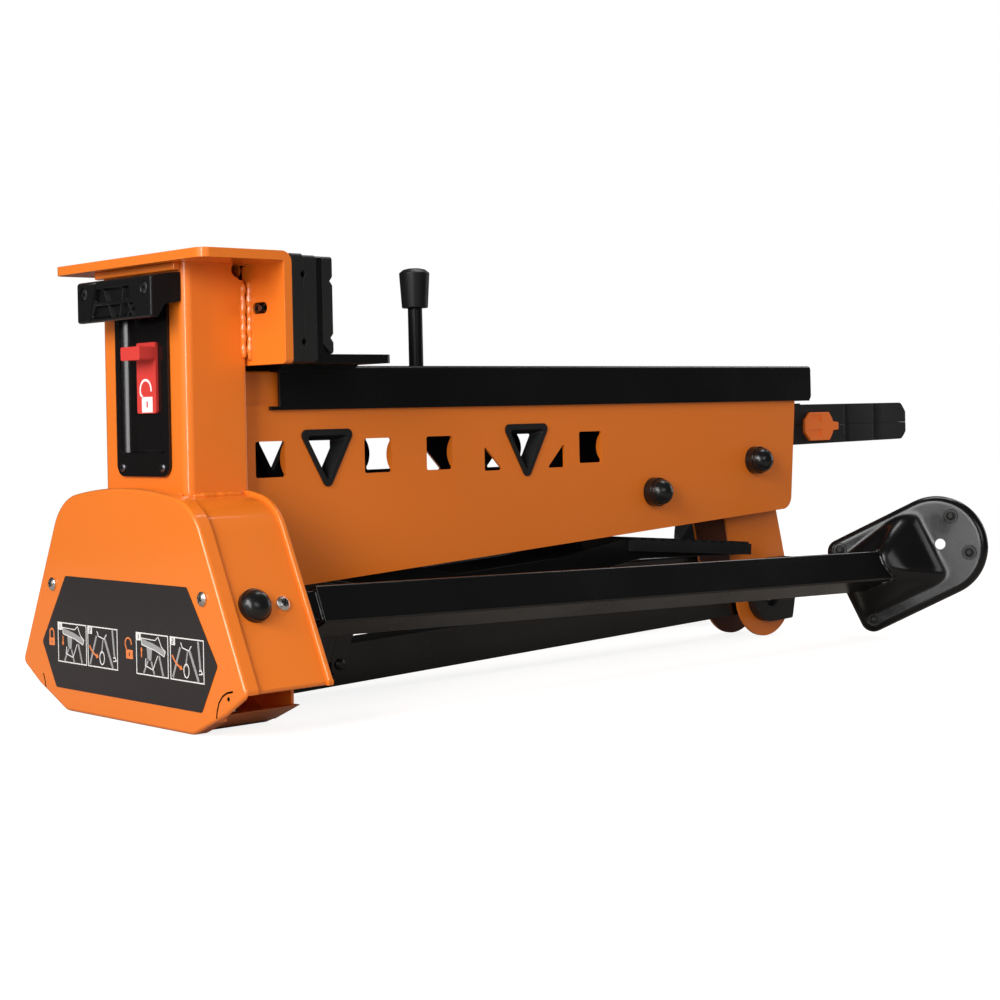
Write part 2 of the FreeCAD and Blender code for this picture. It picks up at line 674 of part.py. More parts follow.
def make_jaw_plate():
    outer = slab_y([(0, JAW_LOW), (JAW_BACK, JAW_LOW), (JAW_BACK, COLUMN_TOP), (0, COLUMN_TOP)],
                   [0, 0, JAW_BEND, 0], (-JAW_HALF, JAW_HALF))
    inner = slab_y([(-10, JAW_LOW - 10), (JAW_BACK - JAW_SHEET, JAW_LOW - 10),
                    (JAW_BACK - JAW_SHEET, SHELF_UNDER),
                    (-10, SHELF_UNDER)], [0, 0, 1.2, 0], (-200, 200))
    plate = outer.cut(inner).fuse(make_weld_pad())
    shelf = slab_z(rectangle((0, 200), (-JAW_HALF, JAW_HALF)), [JAW_CORNER, 0, 0, JAW_CORNER],
                   (JAW_LOW - 10, COLUMN_TOP + 10))
    wall = slab_x(rectangle((-JAW_HALF, JAW_HALF), (JAW_LOW, COLUMN_TOP + 50)),
                  [JAW_WALL_CORNER, JAW_WALL_CORNER, 0, 0], (-10, 200))
    plate = plate.common(shelf).common(wall).removeSplitter()
    slots = []
    for side in (-1, 1):
        y = side * JAW_SLOT_Y
        z = COLUMN_TOP - JAW_SLOT_DROP
        slots.append(slab_x(rectangle((y - JAW_SLOT[0] / 2, y + JAW_SLOT[0] / 2),
                                      (z - JAW_SLOT[1] / 2, z + JAW_SLOT[1] / 2)),
                            JAW_SLOT[1] / 2 - 0.01, (COLUMN_REAR - 5, JAW_BACK + 1)))
    # The column fits against the wall's front face
    return cut_all(plate, slots)


def make_weld_pad():
    """Strip of weld metal that fills the gap between the column and the jaw wall."""
    wall = JAW_BACK - JAW_SHEET
    return box((COLUMN_REAR, wall + 1), (-COLUMN_HALF + 6, COLUMN_HALF - 6),
               (JAW_LOW + 3, SHELF_UNDER - 4))


def groove(x, z, toward):
    """V-groove along y in a face at x; toward is +1 when the face looks to the tail."""
    half = GROOVE_WIDTH / 2
    points = [(x + toward * 1, z - half - half / GROOVE_DEPTH),
              (x + toward * 1, z + half + half / GROOVE_DEPTH),
              (x - toward * GROOVE_DEPTH, z)]
    return slab_y(points, 0, (-JAW_HALF - 5, JAW_HALF + 5))


def upright_groove(x, y, toward):
    half = GROOVE_WIDTH / 2
    points = [(x + toward * 1, y - half - half / GROOVE_DEPTH),
              (x + toward * 1, y + half + half / GROOVE_DEPTH),
              (x - toward * GROOVE_DEPTH, y)]
    return slab_z(points, 0, (JAW_LOW - 10, COLUMN_TOP + 10))


def make_facing(front, thick, top, low, toward, drops):
    face_x = front + thick if toward > 0 else front
    pad = slab_x(rectangle((-JAW_HALF, JAW_HALF), (low, top)), 3, (front, front + thick))
    tools = [groove(face_x, COLUMN_TOP - drop, toward) for drop in drops]
    tools += [upright_groove(face_x, y, toward) for y in (-GROOVE_SPREAD, 0.0, GROOVE_SPREAD)]
    for side in (-1, 1):
        y = side * JAW_SLOT_Y
        z = COLUMN_TOP - JAW_SLOT_DROP
        tools.append(rod(vec(front - 1, y, z), vec(front + thick + 1, y, z), 2.6))
        start = vec(face_x - toward * 5, y, z)
        tools.append(rod(start, start + X * (toward * 10), 5.2))
    return cut_all(pad, tools)


def fillet_room():
    """Wedge that keeps the rear pad clear of the carrier's inside fillet."""
    room = BASE_FILLET + LOOSE_GAP
    corner = [(UPRIGHT_REAR - 1, BASE_TOP - 1), (UPRIGHT_REAR + room, BASE_TOP - 1),
              (UPRIGHT_REAR + room, BASE_TOP),
              (UPRIGHT_REAR, BASE_TOP + room), (UPRIGHT_REAR - 1, BASE_TOP + room)]
    return slab_y(corner, 0, (-JAW_HALF - 1, JAW_HALF + 1))


def make_facing_bolts(front, rear, face_x, toward):
    """Countersunk screws that hold one pad; their heads sit below its face."""
    bolts = []
    for side in (-1, 1):
        y = side * JAW_SLOT_Y
        z = COLUMN_TOP - JAW_SLOT_DROP
        seat = face_x - toward * 5
        bolts.append(fuse([rod(vec(front, y, z), vec(rear, y, z), 2.4),
                           rod(vec(min(seat, seat + toward * 3), y, z),
                               vec(max(seat, seat + toward * 3), y, z), 4.8)]))
    return Part.makeCompound(bolts)


def make_moving_jaw():
    upright = slab_x(rectangle((-JAW_HALF, JAW_HALF), (SLIDE_TOP, COLUMN_TOP - FACING_DROP[2])),
                     [0, 0, 3, 3],
                     (UPRIGHT_FRONT, UPRIGHT_REAR))
    base = slab_z(rectangle((UPRIGHT_FRONT, UPRIGHT_REAR + BASE_LENGTH), (-JAW_HALF, JAW_HALF)),
                  [0, 8, 8, 0],
                  (SLIDE_TOP, BASE_TOP))
    hollow = Part.makeCylinder(BASE_FILLET, 2 * JAW_HALF, vec(UPRIGHT_REAR + BASE_FILLET, -JAW_HALF,
                                                             BASE_TOP + BASE_FILLET), Y)
    corner = box((UPRIGHT_REAR - 1, UPRIGHT_REAR + BASE_FILLET), (-JAW_HALF, JAW_HALF),
                 (BASE_TOP - 1, BASE_TOP + BASE_FILLET)).cut(hollow)
    rear = UPRIGHT_REAR + BASE_LENGTH
    lug = slab_y([(UPRIGHT_FRONT - 2, SLIDE_TOP), (UPRIGHT_FRONT - 2, SLIDE_TOP - LUG_DEEP),
                  (rear - LUG_SLANT + 2, SLIDE_TOP - LUG_DEEP), (rear + 2, SLIDE_TOP)], 0,
                 (SLIDE_HALF + LOOSE_GAP, SLIDE_HALF + LUG_WIDTH))
    lug = lug.fuse(box((UPRIGHT_FRONT, rear - 9), (SLIDE_HALF + LOOSE_GAP, SLIDE_HALF + LUG_WIDTH),
                       (SLIDE_TOP - 1, SLIDE_TOP + 1)))
    jaw = fuse([upright, base, corner] + both_sides(lug))
    tools = []
    for side in (-1, 1):
        y = side * JAW_SLOT_Y
        z = COLUMN_TOP - JAW_SLOT_DROP
        tools.append(rod(vec(UPRIGHT_FRONT - 1, y, z), vec(UPRIGHT_REAR + 1, y, z), 2.5))
        bolt = vec(BASE_BOLT_X, side * BASE_BOLT_Y, SLIDE_TOP - 1)
        tools.append(rod(bolt, bolt + Z * (BASE_THICK + 2), BASE_BOLT_RADIUS))
    return cut_all(jaw, tools)


def make_slide():
    outer = slab_x(rectangle((-SLIDE_HALF, SLIDE_HALF), (SLIDE_LOW, SLIDE_TOP)),
                   [0, 0, SLIDE_BEND, SLIDE_BEND],
                   (SLIDE_FRONT - LIP_FORWARD, SLIDE_REAR))
    inner = slab_x(rectangle((-SLIDE_INNER, SLIDE_INNER), (SLIDE_LOW - 5, SLIDE_TOP - SLIDE_SHEET)),
                   [0, 0, 1, 1],
                   (SLIDE_FRONT - LIP_FORWARD - 1, SLIDE_REAR + 1))
    step = box((SLIDE_FRONT - LIP_FORWARD - 1, SLIDE_FRONT), (-100, 100),
               (SLIDE_LOW + SLIDE_SHEET, SLIDE_TOP + 5))
    corner_keep = slab_y([(0, SLIDE_LOW), (SLIDE_REAR, SLIDE_LOW), (SLIDE_REAR, SLIDE_TOP + 5),
                          (0, SLIDE_TOP + 5)],
                         [0, 6, 0, 0], (-200, 200))
    shell = outer.cut(inner).cut(step).common(corner_keep)
    webs = [box((SLIDE_FRONT, SLIDE_FRONT + 3), (-RAIL_INNER + 2, RAIL_INNER - 2),
                (BAR_LOW, SLIDE_TOP - 1)),
            box((SLIDE_REAR - 3, SLIDE_REAR), (-SLIDE_INNER - 1, SLIDE_INNER + 1),
                (BAR_LOW, SLIDE_TOP - 1))]
    slide = fuse([shell] + webs)
    slot = slab_z(rectangle((STICK_X + STICK_SLOT[0], STICK_X + STICK_SLOT[1]),
                            (-STICK_RADIUS - 1, STICK_RADIUS + 1)), 4, (SLIDE_TOP - 10, SLIDE_TOP + 5))
    bolts = []
    for side in (-1, 1):
        bolt = vec(BASE_BOLT_X, side * BASE_BOLT_Y, SLIDE_TOP - 10)
        bolts.append(rod(bolt, bolt + Z * 11, BASE_BOLT_RADIUS))
    return cut_all(slide, [slot] + bolts)


def make_slide_bolts():
    """Bolts that hold the moving jaw's base to the slide."""
    bolts = []
    for side in (-1, 1):
        at = vec(BASE_BOLT_X, side * BASE_BOLT_Y, BASE_TOP)
        head = hexagon(at, Z, 6.5, 5.0)
        nut = hexagon(at - Z * (BASE_THICK + SLIDE_SHEET), Z * -1, 6.5, 4.0)
        bolts.append(fuse([head, nut, rod(at - Z * (BASE_THICK + SLIDE_SHEET), at, BASE_BOLT_RADIUS)]))
    return Part.makeCompound(bolts)


def hexagon(at, out, half_flats, high):
    """Hexagonal prism standing on a point, along out."""
    side = vec(0, 1, 0) if abs(out.y) < 0.9 else vec(1, 0, 0)
    first = out.cross(side)
    first.normalize()
    second = out.cross(first)
    second.normalize()
    reach = half_flats / math.cos(math.radians(30))
    points = []
    for step in range(7):
        turn = math.radians(60 * step)
        points.append(at + first * (reach * math.cos(turn)) + second * (reach * math.sin(turn)))
    return Part.Face(Part.makePolygon(points)).extrude(out * high)


def make_pull_bar():
    return box((SLIDE_FRONT + 3, SLIDE_REAR - 3), (-BAR_HALF, BAR_HALF), (BAR_LOW, BAR_HIGH))


def make_stick():
    pivot = vec(STICK_X, 0, STICK_PIVOT_Z)
    shaft = rod(pivot, vec(STICK_X, 0, KNOB_TOP - 8), STICK_RADIUS)
    eye = circle_y(STICK_X, STICK_PIVOT_Z, STICK_RADIUS, (-5.5, 5.5))
    shaft = shaft.common(box((0, 600), (-5.5, 5.5), (0, SLIDE_TOP - 0.5))).fuse(
        shaft.common(box((0, 600), (-50, 50), (SLIDE_TOP - 0.5, 600))))
    stick = fuse([shaft, eye])
    return stick.cut(circle_y(STICK_X, STICK_PIVOT_Z, 3.0 + RUNNING_GAP, (-20, 20)))


def make_knob():
    low, high = KNOB_RADII
    body = Part.makeCone(low, high, KNOB_TOP - KNOB_LOW - 4, vec(STICK_X, 0, KNOB_LOW), Z)
    crown = Part.makeCone(high, high * 0.72, 3.0, vec(STICK_X, 0, KNOB_TOP - 4), Z)
    tip = Part.makeCone(high * 0.72, high * 0.4, 1.0, vec(STICK_X, 0, KNOB_TOP - 1), Z)
    knob = fuse([body, crown, tip])
    return knob.cut(rod(vec(STICK_X, 0, KNOB_LOW - 1), vec(STICK_X, 0, KNOB_TOP - 8), STICK_RADIUS))


def make_stick_bracket():
    """Two ears under the slide's top with the stick's pivot pin."""
    under = SLIDE_TOP - SLIDE_SHEET
    ears = []
    for side in (-1, 1):
        ys = sorted((side * (5.5 + LOOSE_GAP), side * 9.0))
        ears.append(box((STICK_X - 7, STICK_X + 7), ys, (STICK_PIVOT_Z - 6, under)))
    pin = circle_y(STICK_X, STICK_PIVOT_Z, 3.0, (-9, 9))
    return fuse(ears + [pin])


# Body
def plate_low(x):
    return PLATE_LOW_FRONT + PLATE_SLOPE * (x - COLUMN_REAR)


def bezel_outline(x, share, lift=0.0):
    """Inverted triangle about its middle, scaled by share."""
    middle = BEZEL_TOP - BEZEL_HIGH * 0.36
    points = [(-BEZEL_HALF, BEZEL_HIGH * 0.36), (BEZEL_HALF, BEZEL_HIGH * 0.36),
              (0, -BEZEL_HIGH * 0.64)]
    return [(x + u * share, middle + v * share + lift) for u, v in points]


def make_side_plate():
    """Near side plate, with its cut-outs and the lips drawn in beside the square ones."""
    outline = [(COLUMN_REAR, PLATE_LOW_FRONT), (PLATE_REAR_LOW, plate_low(PLATE_REAR_LOW)),
               (PLATE_REAR_TOP, PLATE_TOP), (COLUMN_REAR, PLATE_TOP)]
    ys = (-PLATE_HALF, -PLATE_INNER)
    plate = slab_y(outline, [0, PLATE_REAR_RADIUS, 3, 0], ys)
    nose = slab_y([(NOSE_FRONT, 104), (COLUMN_REAR + 2, PLATE_LOW_FRONT), (COLUMN_REAR + 2, 190),
                   (NOSE_FRONT, 190)],
                  [6, 0, 0, 0], ys)
    nose = nose.common(headstock_solid((0, COLUMN_REAR + 2), SHELL_INSET + SHEET))
    nose = nose.common(box((0, COLUMN_REAR), (-100, 100), (0, 300)))
    plate = plate.fuse(nose)
    tools = []
    lips = []
    half = SQUARE_SIDE / 2
    for x in SQUARE_XS:
        tools.append(slab_y(rectangle((x - half, x + half), (SQUARE_Z - half, SQUARE_Z + half)), 2,
                            NEAR_CUT))
        for side in (-1, 1):
            edge = x + side * half
            xs = sorted((edge, edge + side * 1.6))
            lips.append(lip(xs, half))
    for x in BEZEL_XS:
        tools.append(slab_y(bezel_outline(x, 0.86), 3, NEAR_CUT))
    tall = WEDGE_SIDE * 1.02
    first, second = WEDGE_XS
    tools.append(slab_y([(first, WEDGE_LOW), (first + WEDGE_SIDE, WEDGE_LOW),
                         (first, WEDGE_LOW + tall)], 1.2, NEAR_CUT))
    tools.append(slab_y([(second, WEDGE_LOW), (second, WEDGE_LOW + tall),
                         (second - WEDGE_SIDE, WEDGE_LOW)], 1.2, NEAR_CUT))
    tools.append(circle_y(PEDAL_PIVOT[0], PEDAL_PIVOT[1], PEDAL_AXLE_RADIUS + RUNNING_GAP, NEAR_CUT))
    for x, z in (LEVER_PIVOT, TAIL_AXLE):
        tools.append(circle_y(x, z, LEVER_AXLE_RADIUS, NEAR_CUT))
    plate = cut_all(plate, tools)
    return fuse([plate] + lips)


def lip(xs, half):
    """Segment drawn inward along one side of a square cut-out, deepest at mid-height."""
    place = facing_x(xs[0])
    base = -PLATE_INNER - 0.5
    first = place(base, SQUARE_Z - half + 2)
    second = place(base, SQUARE_Z + half - 2)
    top = place(-PLATE_INNER + LIP_DEEP, SQUARE_Z)
    edges = [Part.Arc(first, top, second).toShape(), Part.LineSegment(second, first).toShape()]
    return Part.Face(Part.Wire(edges)).extrude(X * (xs[1] - xs[0]))


def make_bezels():
    """Black funnel-shaped inserts of the near side plate."""
    solids = []
    for x in BEZEL_XS:
        front = -PLATE_HALF - BEZEL_PROUD
        back = -PLATE_HALF + BEZEL_DEEP
        flange = slab_y(bezel_outline(x, 1.0), 5, (front, -PLATE_HALF))
        sleeve = slab_y(bezel_outline(x, 0.855), 3, (front + 0.5, back))
        mouth = rounded_wire(bezel_outline(x, 0.74), 2.5, facing_y(front - 0.5))
        throat = rounded_wire(bezel_outline(x, 0.5), 1.2, facing_y(back + 0.5))
        funnel = Part.makeLoft([mouth, throat], True, True)
        solids.append(flange.fuse(sleeve).removeSplitter().cut(funnel))
    return Part.makeCompound(solids)


def make_rail():
    """Near guide rail: a box tube inside the side plate, under the slide."""
    ys = (-PLATE_INNER, -RAIL_INNER)
    outer = slab_x(rectangle(ys, (RAIL_LOW, RAIL_TOP)), 2, (COLUMN_REAR, RAIL_REAR))
    inner = slab_x(rectangle((ys[0] + RAIL_WALL, ys[1] - RAIL_WALL),
                             (RAIL_LOW + RAIL_WALL, RAIL_TOP - RAIL_WALL)),
                   1, (COLUMN_REAR - 1, RAIL_REAR + 1))
    return outer.cut(inner)


def make_pads():
    """Nylon strips that the slide runs on, over and beside the rails."""
    pads = []
    side_out = SLIDE_INNER - LOOSE_GAP
    for span in PAD_SPANS:
        top = box(span, (-side_out, -RAIL_INNER), (RAIL_TOP, RAIL_TOP + TOP_PAD - 0.2))
        side = box(span, (-side_out, -PLATE_INNER), (PLATE_TOP + 1, RAIL_TOP + TOP_PAD - 0.2))
        pads += both_sides(fuse([top, side]))
    return Part.makeCompound(pads)


def make_webs():
    """Cross plates between the side plates; the pull rod runs through them."""
    webs = []
    for x in WEB_XS:
        web = box((x, x + 4), (-PLATE_INNER, PLATE_INNER), (WEB_LOW + 8, WEB_HIGH))
        webs.append(web.cut(rod(vec(x - 1, 0, ROD_Z), vec(x + 5, 0, ROD_Z), ROD_RADIUS + RUNNING_GAP)))
    return Part.makeCompound(webs)


def make_axles():
    """Fixed axles of the clamp lever and of the tail, with the lever's spacers."""
    axles = []
    for x, z in (LEVER_PIVOT, TAIL_AXLE):
        axles.append(circle_y(x, z, LEVER_AXLE_RADIUS, (-PLATE_HALF - 4, PLATE_HALF + 4)))
    return Part.makeCompound(axles)


def make_spacer_tubes():
    tubes = []
    x, z = LEVER_PIVOT
    for side in (-1, 1):
        start = vec(x, side * (7 + LOOSE_GAP), z)
        tubes.append(ring(start, vec(x, side * PLATE_INNER, z), 9.0, LEVER_AXLE_RADIUS))
    x, z = TAIL_AXLE
    tubes.append(ring(vec(x, -PLATE_INNER, z), vec(x, PLATE_INNER, z), 9.0, LEVER_AXLE_RADIUS))
    return Part.makeCompound(tubes)


def make_caps():
    caps = []
    for x, z in (LEVER_PIVOT, TAIL_AXLE):
        cap = dome_cap(vec(x, -PLATE_HALF, z), Y * -1, BODY_CAP_RADIUS, BODY_CAP_HIGH)
        bore = circle_y(x, z, LEVER_AXLE_RADIUS, (-PLATE_HALF - 4, -PLATE_HALF + 1))
        caps += both_sides(cap.cut(bore))
    cheek = dome_cap(cheek_point(LEG_PIVOT[0], SHELL_INSET), CHEEK_OUT)
    cheek = cheek.cut(rod(cheek_point(LEG_PIVOT[0], SHELL_INSET + 1),
                          cheek_point(LEG_PIVOT[0], SHELL_INSET - 5),
                          LEG_BOLT_RADIUS))
    caps += both_sides(cheek)
    return Part.makeCompound(caps)


def make_screws():
    """Bright screws: two in the front cover, two in the cheeks."""
    screws = []
    cover = screw_head(vec(COVER_FRONT, COVER_SCREW[0], COVER_SCREW[1]), X * -1, 5.6, 3.0, 8.0)
    screws += both_sides(cover)
    screws += both_sides(screw_head(cheek_point(ZINC_SCREW_X, SHELL_INSET), CHEEK_OUT, 6.0, 3.4, 3.6))
    return Part.makeCompound(screws)


def make_black_screws():
    """Black screws of the panel and of the vent cover."""
    screws = []
    for side in (-1, 1):
        at = vec(PANEL_FRONT, side * (PANEL_HALF - 9.5), PANEL_BOTTOM + 7)
        screws.append(screw_head(at, X * -1, 3.6, 1.8, 7.5, 1.8))
        at = vec(VENT_FRONT + 1.5, side * VENT_SCREW_Y, VENT_SCREW_Z)
        screws.append(screw_head(at, X * -1, 4.6, 1.4, 28, 1.8))
    return Part.makeCompound(screws)


# Tail
def make_tail_bracket():
    x, z = TAIL_PIVOT
    plates = []
    for side in (-1, 1):
        ys = sorted((side * TAIL_HALF, side * (TAIL_HALF - TAIL_SHEET)))
        upper = slab_y([(TAIL_FRONT_TOP, TAIL_TOP), (TAIL_REAR_TOP, TAIL_TOP), (x + TAIL_DISC, z),
                        (x - TAIL_DISC, z)],
                       0, ys)
        plates.append(upper.fuse(circle_y(x, z, TAIL_DISC, ys)))
    top = box((TAIL_FRONT_TOP, TAIL_REAR_TOP - 4), (-PLATE_INNER, PLATE_INNER),
              (TAIL_TOP - 3, TAIL_TOP))
    web = slab_y([(TAIL_FRONT_TOP, TAIL_TOP), (TAIL_FRONT_TOP + 3, TAIL_TOP),
                  (TAIL_FRONT_TOP + 14, TAIL_TOP - 50),
                  (TAIL_FRONT_TOP + 11, TAIL_TOP - 50)], 0, (-TAIL_HALF + 0.5, TAIL_HALF - 0.5))
    bracket = fuse(plates + [top, web])
    return bracket.cut(circle_y(x, z, PIVOT_PIN_RADIUS, (-60, 60)))


def make_pivot_covers():
    """Black moulded covers on the bracket's outer faces."""
    x, z = TAIL_PIVOT
    ys = (-TAIL_HALF - PIVOT_COVER_THICK, -TAIL_HALF)
    disc = circle_y(x, z, PIVOT_COVER_RADIUS, ys)
    heel = slab_y([(x, z - PIVOT_COVER_RADIUS), (x + 33, z - PIVOT_COVER_RADIUS + 1), (x + 40, z + 4),
                   (x + 36, z + 38), (x, z + 38)], [0, 3, 3, 6, 6], ys)
    cover = disc.fuse(heel).removeSplitter()
    cover = cover.cut(circle_y(x, z, PIVOT_PIN_RADIUS + 6, (-60, -TAIL_HALF - 4)))
    cover = cover.cut(circle_y(x, z, PIVOT_PIN_RADIUS, (-60, -TAIL_HALF + 1)))
    return Part.makeCompound(both_sides(cover))


def make_tail_pin():
    x, z = TAIL_PIVOT
    pin = circle_y(x, z, PIVOT_PIN_RADIUS, (-TAIL_HALF - 6, TAIL_HALF + 6))
    washers = []
    for side in (-1, 1):
        ys = sorted((side * (REAR_TUBE / 2 + LOOSE_GAP), side * (TAIL_HALF - TAIL_SHEET)))
        washers.append(circle_y(x, z, 11.0, ys))
    return fuse([pin] + washers)


def make_rear_leg():
    """Rear leg built along -x from its pivot and then tipped down a little."""
    x, z = TAIL_PIVOT
    half = REAR_TUBE / 2
    tube = slab_y([(x - REAR_REACH, z - half), (x, z - half), (x, z + half),
                   (x - REAR_REACH, z + half)], 0, (-half, half))
    tube = tube.fuse(circle_y(x, z, half, (-half, half))).removeSplitter()
    inner = box((x - REAR_REACH - 50, x - 14), (-half + REAR_WALL, half - REAR_WALL),
                (z - half + REAR_WALL, z + half - REAR_WALL))
    inner = inner.fuse(circle_y(x, z, half - REAR_WALL, (-half + REAR_WALL, half - REAR_WALL)))
    bush = circle_y(x, z, 10, (-half, half))
    leg = tube.cut(inner).fuse(bush).cut(circle_y(x, z, PIVOT_PIN_RADIUS + RUNNING_GAP, (-60, 60)))
    lean = math.radians(REAR_LEAN)
    level = z - REAR_REACH * math.cos(lean) + HUMP_HIGH
    ground = rear_foot_frame(box((x - 600, x + 900), (-100, 100), (level - 300, level)))
    catch = rod(vec(CATCH_BOLT[0], -half - 1, CATCH_BOLT[1]),
                vec(CATCH_BOLT[0], -half + REAR_WALL, CATCH_BOLT[1]), 2.2)
    return tip_rear(leg.removeSplitter()).cut(ground).cut(catch)


def tip_rear(shape):
    turned = shape.copy()
    turned.rotate(vec(TAIL_PIVOT[0], 0, TAIL_PIVOT[1]), Y, -REAR_SAG)
    return turned


def rear_foot_frame(shape):
    """The rear foot is drawn level under the opened leg, then turned back with it."""
    x, z = TAIL_PIVOT
    turned = shape.copy()
    turned.rotate(vec(x, 0, z), Y, 90 + REAR_LEAN - REAR_SAG)
    return turned


def make_foot(centre_x, centre_y, half, length, inner_radius, hump_wide, hump_long, top, back=10.0,
              share=FRONT_HUMP_SHARE):
    """Pressed foot, level: flat inner end, round outer end, rim turned down, raised middle."""
    outer_points = [(centre_x - half, centre_y), (centre_x - half, centre_y - length + half),
                    (centre_x + half, centre_y - length + half), (centre_x + half, centre_y)]
    plan = slab_z(outer_points, [inner_radius, 0, 0, inner_radius], (top - FOOT_RIM, top))
    plan = plan.fuse(Part.makeCylinder(half, FOOT_RIM,
                                       vec(centre_x, centre_y - length + half, top - FOOT_RIM), Z))
    plan = plan.removeSplitter()
    rim = [edge for edge in plan.Edges if abs(edge.BoundBox.ZMin - top) < 1e-6
           and abs(edge.BoundBox.ZMax - top) < 1e-6]
    plan = plan.makeFillet(4.0, rim)
    inset = half - FOOT_SHEET
    low = top - FOOT_RIM - 1
    hollow_points = [(centre_x - inset, centre_y - FOOT_SHEET),
                     (centre_x - inset, centre_y - length + half),
                     (centre_x + inset, centre_y - length + half),
                     (centre_x + inset, centre_y - FOOT_SHEET)]
    hollow = slab_z(hollow_points, [inner_radius - FOOT_SHEET, 0, 0, inner_radius - FOOT_SHEET],
                    (low, top - FOOT_SHEET))
    hollow = hollow.fuse(Part.makeCylinder(inset, top - FOOT_SHEET - low,
                                           vec(centre_x, centre_y - length + half, low), Z))
    hump_y = centre_y - hump_long / 2 - back
    hump = foot_hump(centre_x, hump_y, hump_wide, hump_long, top - 1, top + HUMP_HIGH, 0, share)
    hump_hollow = foot_hump(centre_x, hump_y, hump_wide, hump_long, top - FOOT_SHEET - 2,
                            top + HUMP_HIGH - FOOT_SHEET, FOOT_SHEET, share)
    foot = plan.fuse(hump).cut(hollow).cut(hump_hollow)
    return foot.removeSplitter()


def foot_hump(x, y, wide, long, low, high, inset, top_share):
    wires = []
    slide = 0.2 if top_share < 0.8 else 0.0
    for z, share in ((low, 1.0), (high, top_share)):
        half_x = wide / 2 * share - inset
        half_y = long / 2 * share - inset
        shift = (1 - share) * long * slide
        points = rectangle((x - half_x, x + half_x), (y + shift - half_y, y + shift + half_y))
        wires.append(rounded_wire(points, 9 * share - inset * 0.5, facing_z(z)))
    return Part.makeLoft(wires, True, True)


def stud(x, y, top):
    """Rubber foot stud pushed through the plate: a dome above it and a pad below."""
    pad = Part.makeCylinder(STUD_RADIUS, FOOT_RIM - FOOT_SHEET + STUD_PROUD,
                            vec(x, y, top - FOOT_RIM - STUD_PROUD), Z)
    neck = Part.makeCylinder(4.0, FOOT_SHEET, vec(x, y, top - FOOT_SHEET), Z)
    collar = Part.makeCylinder(5.6, 1.0, vec(x, y, top), Z)
    crown = Part.makeCone(4.6, 2.0, 2.2, vec(x, y, top + 1.0), Z)
    return fuse([pad, neck, collar, crown])


def stud_places(centre_x, inner_y, half, length):
    back = half - 12.0
    front = half * 0.4
    return [(centre_x - back, inner_y - 15), (centre_x + back, inner_y - 15),
            (centre_x - front, inner_y - length + 24), (centre_x + front, inner_y - length + 24)]


def stud_holes(places, top):
    return [Part.makeCylinder(4.0, 30, vec(x, y, top - 15), Z) for x, y in places]


# Front legs
def leg_matrix():
    """Place that carries (along, down, inward) to the folded near leg."""
    sag = math.radians(LEG_SAG)
    along = X * math.cos(sag) + CHEEK_DOWN * math.sin(sag)
    down = CHEEK_DOWN * math.cos(sag) - X * math.sin(sag)
    inward = CHEEK_OUT * -1
    matrix = FreeCAD.Matrix(along.x, down.x, inward.x, PIVOT_POINT.x,
                            along.y, down.y, inward.y, PIVOT_POINT.y,
                            along.z, down.z, inward.z, PIVOT_POINT.z,
                            0, 0, 0, 1)
    return FreeCAD.Placement(matrix)


def in_leg(shape):
    placed = shape.copy()
    placed.Placement = leg_matrix().multiply(shape.Placement)
    return placed


def folded(shape):
    """Turn a shape that is drawn on the opened near leg back to the folded leg."""
    turned = shape.copy()
    turned.rotate(PIVOT_POINT, LEG_AXIS, -LEG_OPEN)
    return turned


def make_leg_root():
    half = ROOT_WIDE / 2
    depth = (ROOT_FACE, ROOT_FACE + ROOT_DEEP)
    bar = slab_z([(0, -half), (ROOT_END, -half), (ROOT_END, half), (0, half)], 0, depth)
    bar = bar.fuse(Part.makeCylinder(half, ROOT_DEEP, vec(0, 0, ROOT_FACE), Z)).removeSplitter()
    hollow = box((14, ROOT_END + 1), (-half + ROOT_WALL, half - ROOT_WALL),
                 (depth[0] + ROOT_WALL, depth[1] - ROOT_WALL))
    bore = Part.makeCylinder(LEG_BOLT_RADIUS + RUNNING_GAP, 60, vec(0, 0, 0), Z)
    return in_leg(bar.cut(hollow).cut(bore))


def make_leg_tube():
    half = LEG_WIDE / 2
    depth = (LEG_FACE, LEG_FACE + LEG_DEEP)
    long = 900.0
    outer = slab_x([(-half, depth[0]), (half, depth[0]), (half, depth[1]), (-half, depth[1])], 2.5,
                   (LEG_TUBE_START, long))
    inner = slab_x([(-half + LEG_WALL, depth[0] + LEG_WALL), (half - LEG_WALL, depth[0] + LEG_WALL),
                    (half - LEG_WALL, depth[1] - LEG_WALL), (-half + LEG_WALL, depth[1] - LEG_WALL)], 1,
                   (LEG_TUBE_START + 2, long + 1))
    mouth_half = ROOT_WIDE / 2
    mouth = box((LEG_TUBE_START - 1, LEG_TUBE_START + 5), (-mouth_half, mouth_half),
                (ROOT_FACE, ROOT_FACE + ROOT_DEEP))
    tube = in_leg(outer.cut(inner).cut(mouth))
    ground = folded(box((FOOT_X - 400, FOOT_X + 400), (-1200, 200), (-1400, FOOT_TOP + HUMP_HIGH)))
    return tube.cut(ground)


def make_front_foot():
    length = FOOT_INNER - FOOT_CENTRE + FOOT_HALF
    foot = make_foot(FOOT_X, FOOT_INNER, FOOT_HALF, length, 13.0, FRONT_HUMP[0], FRONT_HUMP[1],
                     FOOT_TOP)
    hole = Part.makeCylinder(FOOT_HOLE, 60, vec(FOOT_X, FOOT_CENTRE - 5, FOOT_TOP - 30), Z)
    places = stud_places(FOOT_X, FOOT_INNER, FOOT_HALF, length)
    return folded(cut_all(foot, [hole] + stud_holes(places, FOOT_TOP)))


